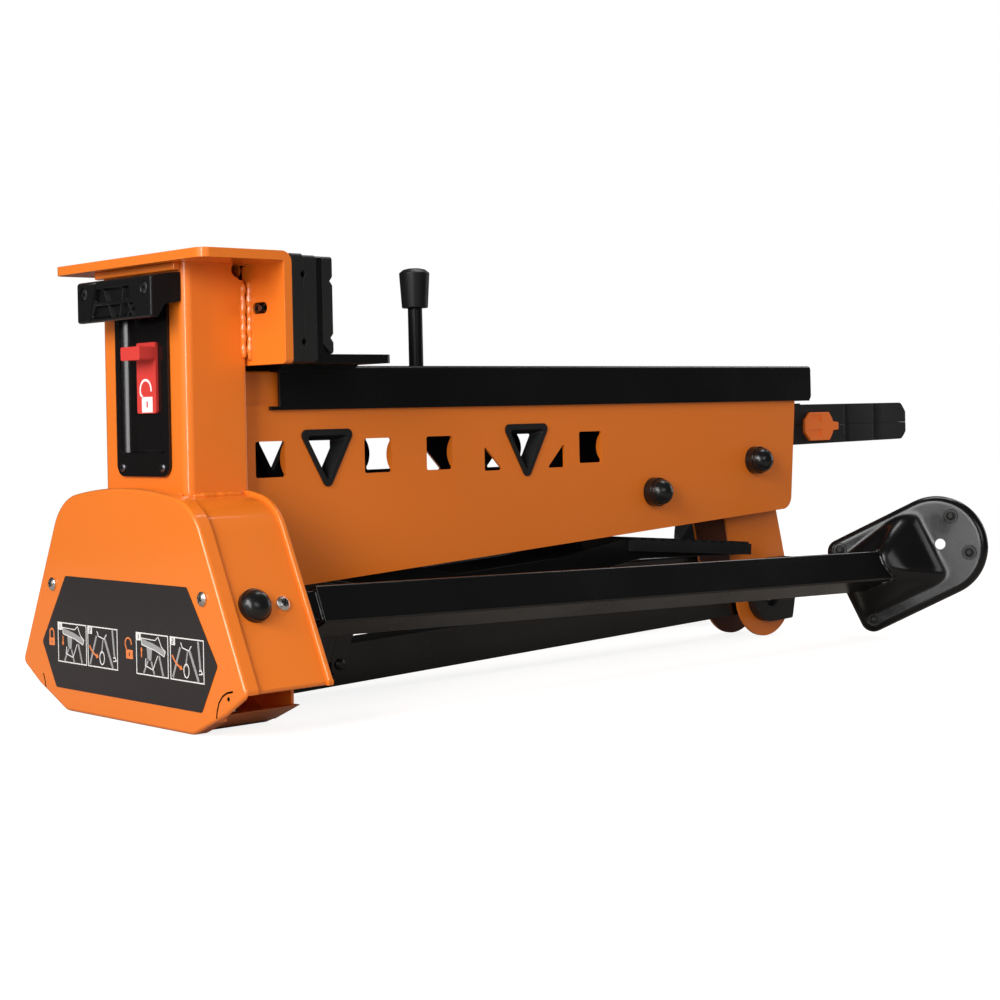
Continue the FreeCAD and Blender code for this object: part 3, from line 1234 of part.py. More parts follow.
def make_front_studs():
    length = FOOT_INNER - FOOT_CENTRE + FOOT_HALF
    places = stud_places(FOOT_X, FOOT_INNER, FOOT_HALF, length)
    return [folded(stud(x, y, FOOT_TOP)) for x, y in places]


def make_leg_bolt():
    """Pivot bolt with its washer outside and its nut inside."""
    shank = rod(cheek_point(LEG_PIVOT[0], SHELL_INSET - 4),
                cheek_point(LEG_PIVOT[0], ROOT_FACE + ROOT_DEEP + 9),
                LEG_BOLT_RADIUS)
    inner_face = SHELL_INSET + SHEET
    washer = rod(cheek_point(LEG_PIVOT[0], inner_face),
                 cheek_point(LEG_PIVOT[0], ROOT_FACE - LOOSE_GAP), 10.0)
    far = ROOT_FACE + ROOT_DEEP + LOOSE_GAP
    nut = hexagon(cheek_point(LEG_PIVOT[0], far), LEG_AXIS, 8.0, 7.0)
    return fuse([shank, washer, nut])


# Pedal
def make_pedal_arms():
    x, z = PEDAL_PIVOT
    high, low_end = TREAD_HEIGHTS
    start, end = TREAD_SPAN
    knee = start - ARM_KNEE
    bend = start - ARM_BEND
    top = [(x - 13, z + 13), (x + 13, z + 13), (bend, high - 19.6), (knee, high - 13.6),
           (start - 12, high - 1.1),
           (start + 6, high - 2.2), (end, low_end - 2.2)]
    low = [(end, low_end - 13), (start + 17, high - 21.6), (knee, high - 35.6), (bend, high - 41.6),
           (x + 13, z - 13), (x - 13, z - 13)]
    radii = [12, 12, 40, 60, 6, 3, 2, 2, 15, 20, 40, 12, 12]
    arm = slab_y(top + low, radii, (-ARM_OUTER, -ARM_INNER))
    arm = arm.cut(circle_y(x, z, PEDAL_AXLE_RADIUS, NEAR_CUT))
    return Part.makeCompound(both_sides(arm))


def make_treads():
    """Ribbed treads, one on each arm, with a gap between them for the rear leg."""
    start, end = TREAD_SPAN
    rise = (TREAD_HEIGHTS[0] - TREAD_HEIGHTS[1]) / (end - start)
    tilt = math.degrees(math.atan(rise))
    length = (end - start) / math.cos(math.radians(tilt))
    span = (-TREAD_OUTER, -TREAD_INNER)
    plate = box((0, length), span, (-TREAD_THICK, -2))
    pitch = length / TREAD_RIBS
    ribs = []
    for index in range(TREAD_RIBS):
        ribs.append(box((pitch * (index + 0.25), pitch * (index + 0.7)), span, (-3, 0)))
    skirts = []
    for y in (-TREAD_OUTER, -TREAD_INNER - 2.5):
        skirts.append(box((0, length), (y, y + 2.5), (-13, -2)))
    ends = [box((0, 2.5), span, (-13, -2)), box((length - 2.5, length), span, (-13, -2))]
    tread = fuse([plate] + skirts + ends + ribs)
    tread.rotate(vec(0, 0, 0), Y, tilt)
    tread.translate(vec(start, 0, TREAD_HEIGHTS[0]))
    near = tread.cut(make_pedal_arms().Solids[0])
    return Part.makeCompound(both_sides(near))


def make_pedal_axle():
    """Axle with the short crank that works the pull rod."""
    x, z = PEDAL_PIVOT
    end = PLATE_HALF + LOOSE_GAP
    axle = circle_y(x, z, PEDAL_AXLE_RADIUS, (-end - 3, end + 3))
    heads = []
    collars = []
    cheeks = []
    for side in (-1, 1):
        heads.append(hexagon(vec(x, side * end, z), Y * side, 8.0, 5.0))
        ys = sorted((side * ARM_OUTER, side * (PLATE_INNER - LOOSE_GAP)))
        collars.append(circle_y(x, z, 9.0, ys))
        ys = sorted((side * 7.0, side * 12.0))
        cheeks.append(slab_y([(x - 9, z - 9), (x + 9, z - 9), (x + 6, z + CRANK_LENGTH + 6),
                              (x - 6, z + CRANK_LENGTH + 6)],
                             [8, 8, 5, 5], ys))
    pin = circle_y(x, z + CRANK_LENGTH, CRANK_PIN, (-12, 12))
    return fuse([axle, pin] + heads + collars + cheeks)


def make_pull_rod():
    """Rod from the pedal's crank to the clamp lever, with an open fork at each end."""
    front = PEDAL_PIVOT[0]
    rear = LEVER_PIVOT[0]
    shaft = rod(vec(front + 20, 0, ROD_Z), vec(rear - 12, 0, ROD_Z), ROD_RADIUS)
    front_fork = fork(front, CRANK_PIN + 4.5, (ROD_Z - 26, ROD_Z + 10), front + 20, 1, 5.0)
    # The front prong stays above the pedal axle
    front_fork = front_fork.cut(box((front - 30, front + 1), (-10, 10),
                                    (0, PEDAL_PIVOT[1] + PEDAL_AXLE_RADIUS + 1)))
    rear_fork = fork(rear, CRANK_PIN + 2.0, (ROD_Z - 12, ROD_Z + 10.6), rear - 12, -1, 3.4)
    collar = rod(vec(WEB_XS[1] - 60, 0, ROD_Z), vec(WEB_XS[1] - 56, 0, ROD_Z), 9.0)
    return fuse([shaft, front_fork, rear_fork, collar])


def fork(x, reach, zs, root, side, bridge):
    """Two prongs round a pin at x, joined above it and on the side towards the rod."""
    outer = sorted((x - side * (reach + 5), root))
    block = box(outer, (-5, 5), zs)
    gap = box((x - reach, x + reach), (-6, 6), (zs[0] - 1, zs[1] - bridge))
    return block.cut(gap)


def make_lever():
    """Clamp lever: its foot sits in the rod's rear fork and its head works the grip plates."""
    x, z = LEVER_PIVOT
    cheeks = []
    for side in (-1, 1):
        ys = sorted((side * 5.8, side * 7.0 if side > 0 else side * 7.0))
        cheeks.append(slab_y([(x - 11, z - 5), (x - 6, ROD_Z - 6), (x + 6, ROD_Z - 6), (x + 11, z - 5),
                              (x + 7, LEVER_HIGH), (x - 7, LEVER_HIGH)], [6, 4, 4, 6, 5, 5], ys))
    hub = circle_y(x, z, 11.0, (-7, 7))
    pin = circle_y(x, ROD_Z, CRANK_PIN, (-7, 7))
    head = circle_y(x, LEVER_HIGH - 7, 4.0, (-7, 7))
    lever = fuse([hub, pin, head] + cheeks)
    return lever.cut(circle_y(x, z, LEVER_AXLE_RADIUS + RUNNING_GAP, (-20, 20)))


def make_grip_plates():
    """Two plates round the pull bar that tilt and bite when the lever moves."""
    plates = []
    for x in (GRIP_PLATE_X, GRIP_PLATE_X + 9):
        plate = slab_x(rectangle((-14, 14), (GRIP_PLATE_Z - 12, BAR_HIGH + 7)), 3, (x, x + 5))
        window = box((x - 1, x + 6), (-BAR_HALF - 0.6, BAR_HALF + 0.6), (BAR_LOW - 2.2, BAR_HIGH + 2.2))
        plates.append(plate.cut(window))
    bridge = box((GRIP_PLATE_X, GRIP_PLATE_X + 14), (-14, 14), (GRIP_PLATE_Z - 12, GRIP_PLATE_Z - 7))
    pin_bore = circle_y(GRIP_PLATE_X + 7, GRIP_PLATE_Z - 2, 3.0 + RUNNING_GAP, (-30, 30))
    hub = circle_y(GRIP_PLATE_X + 7, GRIP_PLATE_Z - 2, 6.0, (-14, 14))
    return fuse(plates + [bridge, hub]).cut(pin_bore)


def make_grip_pin():
    """Cross pin of the grip plates, with a collar beside each plate."""
    x = GRIP_PLATE_X + 7
    z = GRIP_PLATE_Z - 2
    pin = circle_y(x, z, 3.0, (-RAIL_INNER, RAIL_INNER))
    collars = []
    for side in (-1, 1):
        collars.append(circle_y(x, z, 5.0, sorted((side * (14 + LOOSE_GAP), side * RAIL_INNER))))
    return fuse([pin] + collars)


def make_spring():
    """Return spring round the pull rod, against the rear web."""
    helix = Part.makeHelix(5.0, 35.0, 7.0)
    start = vec(7.0, 0, 0)
    profile = Part.Wire([Part.makeCircle(1.1, start, vec(0, 1, 0.113))])
    coil = Part.Wire(helix).makePipeShell([profile], True, True)
    coil.rotate(vec(0, 0, 0), Y, 90)
    coil.translate(vec(WEB_XS[1] - 37, 0, ROD_Z))
    return coil


# Tail grip
def grip_outline():
    return [(PLATE_REAR_TOP + 2, GRIP_LOW), (GRIP_REAR - 10, GRIP_LOW + GRIP_TAPER),
            (GRIP_REAR, GRIP_LOW + 12),
            (GRIP_REAR, GRIP_TOP - 12), (GRIP_REAR - 10, GRIP_TOP), (PLATE_REAR_TOP + 2, GRIP_TOP)]


def grip_solid():
    handle = slab_y(grip_outline(), [6, 8, 14, 14, 8, 2], (-GRIP_HALF, GRIP_HALF))
    plan = slab_z([(PLATE_REAR_TOP - 60, -GRIP_HALF), (GRIP_REAR, -GRIP_HALF), (GRIP_REAR, GRIP_HALF),
                   (PLATE_REAR_TOP - 60, GRIP_HALF)], [0, GRIP_END_RADIUS, GRIP_END_RADIUS, 0],
                   (GRIP_LOW - 5, GRIP_TOP + 5))
    handle = handle.common(plan)
    root = box((GRIP_ROOT, PLATE_REAR_TOP + 4), (-GRIP_HALF, GRIP_HALF), (GRIP_LOW + 2, GRIP_TOP - 2))
    ears = box((GRIP_ROOT, PLATE_REAR_LOW - 8), (-PLATE_INNER, PLATE_INNER),
               (GRIP_LOW + 4, GRIP_TOP - 10))
    step = box((PLATE_REAR_TOP + 2, PLATE_REAR_TOP + 42), (-GRIP_HALF + 3, GRIP_HALF - 3),
               (GRIP_TOP - 5, GRIP_TOP + 1.2))
    return fuse([handle, root, ears, step])


def button_outline(room):
    middle = (BUTTON_LOW + BUTTON_HIGH) / 2
    start, end = BUTTON_SPAN
    return [(start - room, BUTTON_LOW + 9 - room * 0.4), (start + 9, BUTTON_LOW - room),
            (end - 6, BUTTON_LOW - room),
            (end + room, BUTTON_LOW + 8), (end + room, middle - 5 - room),
            (end + BUTTON_TAB + room, middle - 4 - room),
            (end + BUTTON_TAB + room, middle + 4 + room), (end + room, middle + 5 + room),
            (end + room, BUTTON_HIGH - 8),
            (end - 6, BUTTON_HIGH + room), (start + 9, BUTTON_HIGH + room),
            (start - room, BUTTON_HIGH - 9 + room * 0.4)]


def make_grip_half(upper):
    pocket = slab_y(button_outline(0.5), 0, (-GRIP_HALF - 5, -GRIP_HALF + 10))
    stem_room = circle_y((BUTTON_SPAN[0] + BUTTON_SPAN[1]) / 2, GRIP_SEAM, 5.0,
                         (-GRIP_HALF, GRIP_HALF - 4))
    solid = grip_solid().cut(pocket).cut(stem_room)
    zs = (GRIP_SEAM, GRIP_TOP + 20) if upper else (GRIP_LOW - 20, GRIP_SEAM - 0.2)
    return solid.common(box((600, 1100), (-100, 100), zs)).removeSplitter()


def make_button():
    cap = slab_y(button_outline(0.0), 1.0,
                 (-GRIP_HALF - BUTTON_PROUD, -GRIP_HALF + 10 - BUTTON_TRAVEL - 1))
    stem = circle_y((BUTTON_SPAN[0] + BUTTON_SPAN[1]) / 2, GRIP_SEAM, 4.6,
                    (-GRIP_HALF, GRIP_HALF - 4 - BUTTON_TRAVEL - 1))
    return fuse([cap, stem])


def make_leg_catch():
    """Hooked plate bolted to the rear leg's near face, under the near front leg."""
    x, z = CATCH_BOLT
    face = -REAR_TUBE / 2
    outline = [(x - 9, z - 9), (x + 8, z - 9), (x + 10, z + 8), (x + 13, z + 21), (x + 23, z + 34),
               (x + 23, z + 43), (x + 5, z + 43), (x + 1, z + 30), (x - 5, z + 18), (x - 9, z + 5)]
    radii = [6, 6, 10, 12, 2, 1, 2, 8, 10, 8]
    plate = slab_y(outline, radii, (face - CATCH_THICK, face))
    shelf = box((x + 6, x + 22), (face - CATCH_THICK, face + 9), (z + 40, z + 43))
    return fuse([plate, shelf,
                 screw_head(vec(x, face - CATCH_THICK, z), Y * -1, 5.0, 2.6, CATCH_THICK + 1.5)])


def rear_foot_shape():
    x, z = TAIL_PIVOT
    lean = math.radians(REAR_LEAN)
    end_x = x + REAR_REACH * math.sin(lean)
    level = z - REAR_REACH * math.cos(lean)
    inner = REAR_FOOT_BACK
    foot = make_foot(0.0, inner, REAR_FOOT_HALF, REAR_FOOT_LENGTH, 6.0, REAR_HUMP[0], REAR_HUMP[1], 0.0,
                     0.0, REAR_HUMP_SHARE)
    out = inner - REAR_FOOT_LENGTH
    places = [(-33.5, inner - 12), (33.5, inner - 12), (-16.0, out + 16), (16.0, out + 16)]
    foot = cut_all(foot, stud_holes(places, 0.0))
    placed = []
    for shape in [foot] + [stud(px, py, 0.0) for px, py in places]:
        shape = shape.copy()
        shape.rotate(vec(0, 0, 0), Z, 90)
        shape.rotate(vec(0, 0, 0), Z, 180)
        shape.translate(vec(end_x, 0, level))
        placed.append(rear_foot_frame(shape))
    return placed


REAR_FOOT = rear_foot_shape()

NODES = {
    "headstock_shell": make_shell(),
    "front_cover": make_cover(),
    "base_pan": make_pan(),
    "column": make_column(),
    "jaw_plate": make_jaw_plate(),
    "switch_panel": make_panel(),
    "vent_cover": make_vent_cover(),
    "lock_slider": make_slider(),
    "lock_link": make_link(),
}


def export(name, shape):
    moved = shape.copy()
    moved.translate(vec(-STAND_MIDDLE, 0, 0))
    moved.exportStep("parts/%s.step" % name)
    print("%-22s solids %d  volume %.1f  valid %s" % (name, len(moved.Solids), moved.Volume,
                                                      moved.isValid()))


SIDE_PLATE = make_side_plate()
BEZELS = make_bezels()
RAIL = make_rail()
NODES["side_plate_near"] = SIDE_PLATE
NODES["side_plate_far"] = mirrored(SIDE_PLATE)
NODES["bezels_near"] = BEZELS
NODES["bezels_far"] = mirrored(BEZELS)
NODES["rail_near"] = RAIL
NODES["rail_far"] = mirrored(RAIL)
NODES["body_webs"] = make_webs()
NODES["fixed_axles"] = Part.makeCompound(make_axles().Solids + [make_grip_pin()])
NODES["spacer_tubes"] = make_spacer_tubes()
NODES["slide_pads"] = make_pads()
NODES["axle_caps"] = make_caps()
NODES["bright_screws"] = make_screws()
NODES["black_screws"] = Part.makeCompound(
    make_black_screws().Solids
    + make_facing_bolts(JAW_BACK - JAW_SHEET, FIXED_FACING_REAR - 5, FIXED_FACING_REAR, 1).Solids)
NODES["instruction_plate"] = make_instruction_plate()
NODES["tail_bracket"] = make_tail_bracket()
NODES["pivot_covers"] = make_pivot_covers()
NODES["rear_pivot_pin"] = make_tail_pin()
NODES["tail_grip_upper"] = make_grip_half(True)
NODES["tail_grip_lower"] = make_grip_half(False)
NODES["grip_button"] = make_button()
NODES["return_spring"] = make_spring()
NODES["fixed_facing"] = make_facing(JAW_BACK, FACING_THICK[0], COLUMN_TOP - FACING_DROP[0], JAW_LOW + 1,
                                    1,
                                    GROOVE_DROPS)

# Sliding jaw
NODES["slide_channel"] = make_slide()
NODES["moving_jaw"] = make_moving_jaw()
NODES["moving_facing"] = make_facing(MOVING_FACING_FRONT, FACING_THICK[1], COLUMN_TOP - FACING_DROP[1],
                                     SLIDE_TOP + LOOSE_GAP, -1, GROOVE_DROPS)
NODES["rear_facing"] = make_facing(UPRIGHT_REAR, FACING_THICK[2], COLUMN_TOP - FACING_DROP[2],
                                   BASE_TOP + LOOSE_GAP, 1, REAR_GROOVE_DROPS).cut(fillet_room())
MIDDLE = UPRIGHT_FRONT + UPRIGHT_THICK / 2
NODES["jaw_bolts"] = Part.makeCompound(
    make_facing_bolts(MOVING_FACING_FRONT + 5, MIDDLE, MOVING_FACING_FRONT, -1).Solids
    + make_facing_bolts(MIDDLE, REAR_FACING_REAR - 5, REAR_FACING_REAR, 1).Solids
    + make_slide_bolts().Solids)
NODES["pull_bar"] = make_pull_bar()
NODES["stick_bracket"] = make_stick_bracket()
NODES["release_stick"] = make_stick()
NODES["stick_knob"] = make_knob()

# Legs
LEG_PARTS = {
    "front_leg": make_leg_tube(),
    "leg_root": make_leg_root(),
    "front_foot": make_front_foot(),
    "foot_studs": Part.makeCompound(make_front_studs()),
    "leg_bolt": make_leg_bolt(),
}
for part_name, shape in LEG_PARTS.items():
    NODES[part_name + "_near"] = shape
    NODES[part_name + "_far"] = mirrored(shape)
NODES["rear_leg"] = make_rear_leg()
NODES["rear_foot"] = REAR_FOOT[0]
NODES["leg_catch"] = make_leg_catch()
NODES["rear_foot_studs"] = Part.makeCompound(REAR_FOOT[1:])

# Pedal and clamp drive
NODES["pedal_arms"] = make_pedal_arms()
NODES["pedal_treads"] = make_treads()
NODES["pedal_axle"] = make_pedal_axle()
NODES["pull_rod"] = make_pull_rod()
NODES["clamp_lever"] = make_lever()
NODES["grip_plates"] = make_grip_plates()

for node_name, node_shape in NODES.items():
    export(node_name, node_shape)
print("nodes", len(NODES))
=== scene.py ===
import json
import math

import bmesh
import bpy
from mathutils import Matrix, Vector
from mathutils.bvhtree import BVHTree


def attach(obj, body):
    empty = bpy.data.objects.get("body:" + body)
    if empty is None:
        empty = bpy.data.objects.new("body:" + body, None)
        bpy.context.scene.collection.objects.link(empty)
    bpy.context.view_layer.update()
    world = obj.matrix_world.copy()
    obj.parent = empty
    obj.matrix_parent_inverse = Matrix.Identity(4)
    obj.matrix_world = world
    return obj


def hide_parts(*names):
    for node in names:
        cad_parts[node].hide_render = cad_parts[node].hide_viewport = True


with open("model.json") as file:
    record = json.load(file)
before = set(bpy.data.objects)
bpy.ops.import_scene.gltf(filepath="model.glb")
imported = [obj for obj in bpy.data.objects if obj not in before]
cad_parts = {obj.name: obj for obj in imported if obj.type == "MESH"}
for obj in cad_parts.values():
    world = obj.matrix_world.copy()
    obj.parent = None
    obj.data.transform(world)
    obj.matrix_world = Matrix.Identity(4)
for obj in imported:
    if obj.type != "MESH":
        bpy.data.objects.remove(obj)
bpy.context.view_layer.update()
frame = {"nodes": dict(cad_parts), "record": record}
NODES = frame["nodes"]
MM = 0.001

# Body names of the frame
FRAME_BODY = "frame"
SWITCH = "lock_switch"
JAW = "sliding_jaw"
STICK = "stick"
LEG_NEAR = "leg_near"
LEG_FAR = "leg_far"
LEG_REAR = "leg_rear"
PEDAL = "pedal"
BUTTON = "button"


# Materials
def new_material(name, color, rough, metal=0.0, coat=0.0, coat_rough=0.1, grain=0.0, grain_size=900.0,
                 mottle=0.0, specular=0.5):
    """Plain finish with optional fine grain in the surface and a faint mottle in its gloss."""
    material = bpy.data.materials.new(name)
    material.use_nodes = True
    nodes = material.node_tree.nodes
    links = material.node_tree.links
    shader = nodes["Principled BSDF"]
    shader.inputs["Base Color"].default_value = (*color, 1.0)
    shader.inputs["Roughness"].default_value = rough
    shader.inputs["Metallic"].default_value = metal
    shader.inputs["Coat Weight"].default_value = coat
    shader.inputs["Coat Roughness"].default_value = coat_rough
    shader.inputs["Specular IOR Level"].default_value = specular
    place = nodes.new("ShaderNodeTexCoord")
    if grain > 0:
        noise = nodes.new("ShaderNodeTexNoise")
        noise.inputs["Scale"].default_value = grain_size
        noise.inputs["Detail"].default_value = 2.0
        bump = nodes.new("ShaderNodeBump")
        bump.inputs["Strength"].default_value = grain
        bump.inputs["Distance"].default_value = 0.0004
        links.new(place.outputs["Object"], noise.inputs["Vector"])
        links.new(noise.outputs["Fac"], bump.inputs["Height"])
        links.new(bump.outputs["Normal"], shader.inputs["Normal"])
    if mottle > 0:
        cloud = nodes.new("ShaderNodeTexNoise")
        cloud.inputs["Scale"].default_value = 14.0
        cloud.inputs["Detail"].default_value = 4.0
        spread = nodes.new("ShaderNodeMapRange")
        spread.inputs["From Min"].default_value = 0.3
        spread.inputs["From Max"].default_value = 0.7
        spread.inputs["To Min"].default_value = max(0.02, rough - mottle)
        spread.inputs["To Max"].default_value = rough + mottle
        links.new(place.outputs["Object"], cloud.inputs["Vector"])
        links.new(cloud.outputs["Fac"], spread.inputs["Value"])
        links.new(spread.outputs["Result"], shader.inputs["Roughness"])
    return material


ORANGE = new_material("orange_coat", (0.83, 0.190, 0.014), 0.38, coat=0.8, grain=0.08, mottle=0.05,
                      specular=0.35)
RIB_BLACK = new_material("rib_black", (0.022, 0.022, 0.023), 0.3)
BLACK_COAT = new_material("black_coat", (0.0035, 0.0035, 0.0035), 0.24, grain=0.05, mottle=0.05)
FOOT_COAT = new_material("foot_coat", (0.004, 0.004, 0.0042), 0.23, grain=0.06, mottle=0.14, specular=0.42)
BLACK_PLASTIC = new_material("black_plastic", (0.008, 0.008, 0.0085), 0.42, grain=0.18, grain_size=1400.0,
                             mottle=0.06)
BLACK_GLOSS = new_material("black_gloss", (0.005, 0.004, 0.004), 0.16)
CAP_BLACK = new_material("cap_black", (0.006, 0.006, 0.006), 0.27, mottle=0.03)
VENT_BLACK = new_material("vent_black", (0.006, 0.006, 0.0065), 0.34, grain=0.10, grain_size=1400.0,
                          specular=0.35)
FACING_BLACK = new_material("facing_black", (0.010, 0.010, 0.010), 0.5, grain=0.25, grain_size=1100.0,
                            mottle=0.06)
RUBBER = new_material("black_rubber", (0.012, 0.012, 0.012), 0.6, grain=0.2)
# Painted shade: near black for the orange coat inside the body, which lies in shadow
PAINTED_INSIDE_SHADE = new_material("painted_inside_shade", (0.006, 0.005, 0.005), 0.7)
# Painted shade: dark brown for the orange coat inside the tail bracket, which lies in shadow
PAINTED_BRACKET_SHADE = new_material("painted_bracket_shade", (0.12, 0.030, 0.010), 0.7)
STICK_BLACK = new_material("stick_black", (0.004, 0.004, 0.004), 0.32, specular=0.22)
KNOB_BLACK = new_material("knob_black", (0.006, 0.006, 0.006), 0.4, grain=0.10, grain_size=1400.0,
                          specular=0.32)
# Painted shade: near black with little gloss for the faces cut into slits, windows, grooves and sockets
PAINTED_RECESS_SHADE = new_material("painted_recess_shade", (0.002, 0.002, 0.002), 0.8, specular=0.05)
ZINC = new_material("bright_zinc", (0.72, 0.71, 0.69), 0.24, metal=1.0, mottle=0.08)
STEEL = new_material("dark_steel", (0.16, 0.16, 0.17), 0.35, metal=1.0, mottle=0.08)
RED = new_material("red_plastic", (0.68, 0.048, 0.038), 0.36, coat=0.2, grain=0.06)
ORANGE_PLASTIC = new_material("orange_plastic", (0.95, 0.19, 0.02), 0.36, grain=0.06)
NYLON = new_material("pale_nylon", (0.78, 0.76, 0.70), 0.5)
PLATE = new_material("plate_print", (0.020, 0.017, 0.018), 0.33, mottle=0.04)
WHITE_INK = new_material("white_ink", (0.80, 0.79, 0.77), 0.45)
GREY_INK = new_material("grey_ink", (0.33, 0.33, 0.33), 0.5)
ORANGE_INK = new_material("orange_ink", (0.80, 0.22, 0.06), 0.45)
SIGN_WHITE = new_material("sign_white", (0.86, 0.84, 0.84), 0.4)
ORANGE_BEAD = new_material("orange_bead", (0.84, 0.20, 0.02), 0.16, coat=0.6, coat_rough=0.08)

FINISH = {
    "orange_coat": ORANGE, "black_coat": BLACK_COAT, "black_plastic": BLACK_PLASTIC, "black_rubber": RUBBER,
    "bright_zinc": ZINC, "dark_steel": STEEL, "red_plastic": RED, "orange_plastic": ORANGE_PLASTIC,
    "pale_nylon": NYLON, "plate_print": PLATE,
}
SLOT_OF = {item["node"]: item["material_slot"] for item in frame["record"]["subparts"]}
SPECIAL = {
    "fixed_facing": FACING_BLACK, "moving_facing": FACING_BLACK, "rear_facing": FACING_BLACK,
    "switch_panel": BLACK_GLOSS, "axle_caps": CAP_BLACK, "vent_cover": VENT_BLACK,
    # The body's webs take the painted shade of the body's inside in place of their coat
    "body_webs": PAINTED_INSIDE_SHADE, "release_stick": STICK_BLACK, "stick_knob": KNOB_BLACK,
}


def dress(obj, material):
    obj.data.materials.clear()
    obj.data.materials.append(material)


for node_name, node_object in NODES.items():
    finish = SPECIAL.get(node_name, FINISH[SLOT_OF[node_name]])
    dress(node_object, finish)


# How far the frame's middle lies behind the start of the part's own drawing, in millimetres
X_ZERO = 498.0


def at(x, y, z):
    """Point of the part's own drawing, in millimetres, placed in the frame."""
    return Vector(((x - X_ZERO) * MM, y * MM, z * MM))


def face_outward(shape):
    bmesh.ops.recalc_face_normals(shape, faces=shape.faces)


def baked(piece):
    """Works a piece's modifiers into its mesh."""
    settled = bpy.context.evaluated_depsgraph_get()
    mesh = bpy.data.meshes.new_from_object(piece.evaluated_get(settled))
    piece.modifiers.clear()
    piece.data = mesh


def carve(piece, cutter_shape, material=None):
    """Cuts a closed mesh out of a piece; the cut faces take the cutter's material."""
    mesh = bpy.data.meshes.new("cutter")
    cutter_shape.to_mesh(mesh)
    cutter_shape.free()
    cutter = bpy.data.objects.new("cutter", mesh)
    bpy.context.scene.collection.objects.link(cutter)
    mesh.materials.append(material or piece.data.materials[0])
    step = piece.modifiers.new("carve", "BOOLEAN")
    step.operation = "DIFFERENCE"
    step.solver = "EXACT"
    step.material_mode = "TRANSFER"
    step.object = cutter
    baked(piece)
    if len(piece.data.polygons) == 0:
        raise RuntimeError("carve left nothing of " + piece.name)
    bpy.data.objects.remove(cutter)
    bpy.data.meshes.remove(mesh)


def new_piece(name, shape, materials, body, smooth=35.0, cutters=()):
    """Piece from a bmesh, cut and smoothed, on its body."""
    mesh = bpy.data.meshes.new(name)
    shape.to_mesh(mesh)
    shape.free()
    piece = bpy.data.objects.new(name, mesh)
    bpy.context.scene.collection.objects.link(piece)
    for material in materials:
        mesh.materials.append(material)
    for cutter, inside in cutters:
        carve(piece, cutter, inside)
    for polygon in piece.data.polygons:
        polygon.use_smooth = True
    piece.data.set_sharp_from_angle(angle=math.radians(smooth))
    even = piece.modifiers.new("even", "WEIGHTED_NORMAL")
    even.keep_sharp = True
    baked(piece)
    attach(piece, body)
    return piece


def add_prism(shape, outline, lift):
    """Closed prism: the outline's points and the same points moved by lift."""
    low_ring = [shape.verts.new(point) for point in outline]
    high_ring = [shape.verts.new(point + lift) for point in outline]
    count = len(outline)
    shape.faces.new(low_ring[::-1])
    shape.faces.new(high_ring)
    for i in range(count):
        j = (i + 1) % count
        shape.faces.new((low_ring[i], low_ring[j], high_ring[j], high_ring[i]))


def add_tube(shape, points, radii, around):
    """Closed tube along points, with a radius for each."""
    rings = []
    count = len(points)
    for i, point in enumerate(points):
        ahead = points[min(i + 1, count - 1)] - points[max(i - 1, 0)]
        ahead.normalize()
        side = ahead.orthogonal().normalized() if not rings else rings[-1][1]
        side = (side - ahead * side.dot(ahead)).normalized()
        up = ahead.cross(side)
        ring = []
        for k in range(around):
            turn = 2 * math.pi * k / around
            offset = (side * math.cos(turn) + up * math.sin(turn)) * radii[i]
            ring.append(shape.verts.new(point + offset))
        rings.append((ring, side))
    for (first, _), (second, _) in zip(rings, rings[1:]):
        for k in range(around):
            m = (k + 1) % around
            shape.faces.new((first[k], first[m], second[m], second[k]))
    shape.faces.new(rings[0][0][::-1])
    shape.faces.new(rings[-1][0])
    face_outward(shape)


# Directions and places on the near cheek
CHEEK_RUN = 67.5
CHEEK_DROP = 138.7
CHEEK_TILT = math.atan2(CHEEK_RUN, CHEEK_DROP)
CHEEK_OUT = Vector((0.0, -math.cos(CHEEK_TILT), math.sin(CHEEK_TILT)))
CHEEK_DOWN = Vector((0.0, -math.sin(CHEEK_TILT), -math.cos(CHEEK_TILT)))
SHELL_DEPTH = 3.0
PIVOT_X = 25.0
LEG_PIVOT = at(PIVOT_X, -137.08, 98.0)
LEG_SAG = math.radians(1.65)
FRONT = Vector((-1.0, 0.0, 0.0))
UP = Vector((0.0, 0.0, 1.0))


def cheek_point(x, depth):
    """Point on the near cheek at x, as deep as given under the cover's outside."""
    return LEG_PIVOT + Vector(((x - PIVOT_X) * MM, 0.0, 0.0)) - CHEEK_OUT * (depth * MM)


def mirrored(vector):
    return Vector((vector.x, -vector.y, vector.z))


def leg_point(along, down, inward):
    """Point of the folded near leg: along the tube, across it and inward from the cheek."""
    ahead = Vector((math.cos(LEG_SAG), 0.0, 0.0)) + CHEEK_DOWN * math.sin(LEG_SAG)
    across = CHEEK_DOWN * math.cos(LEG_SAG) - Vector((math.sin(LEG_SAG), 0.0, 0.0))
    return LEG_PIVOT + (ahead * along + across * down - CHEEK_OUT * inward) * MM


# Shapes cut into the dressed pieces
def prisms(outlines, lift):
    shape = bmesh.new()
    for outline in outlines:
        add_prism(shape, outline, lift)
    face_outward(shape)
    return shape


def boxes(spans):
    shape = bmesh.new()
    for xs, ys, zs in spans:
        corners = [(xs[0], ys[0]), (xs[1], ys[0]), (xs[1], ys[1]), (xs[0], ys[1])]
        add_prism(shape, [at(x, y, zs[0]) for x, y in corners], UP * ((zs[1] - zs[0]) * MM))
    face_outward(shape)
    return shape


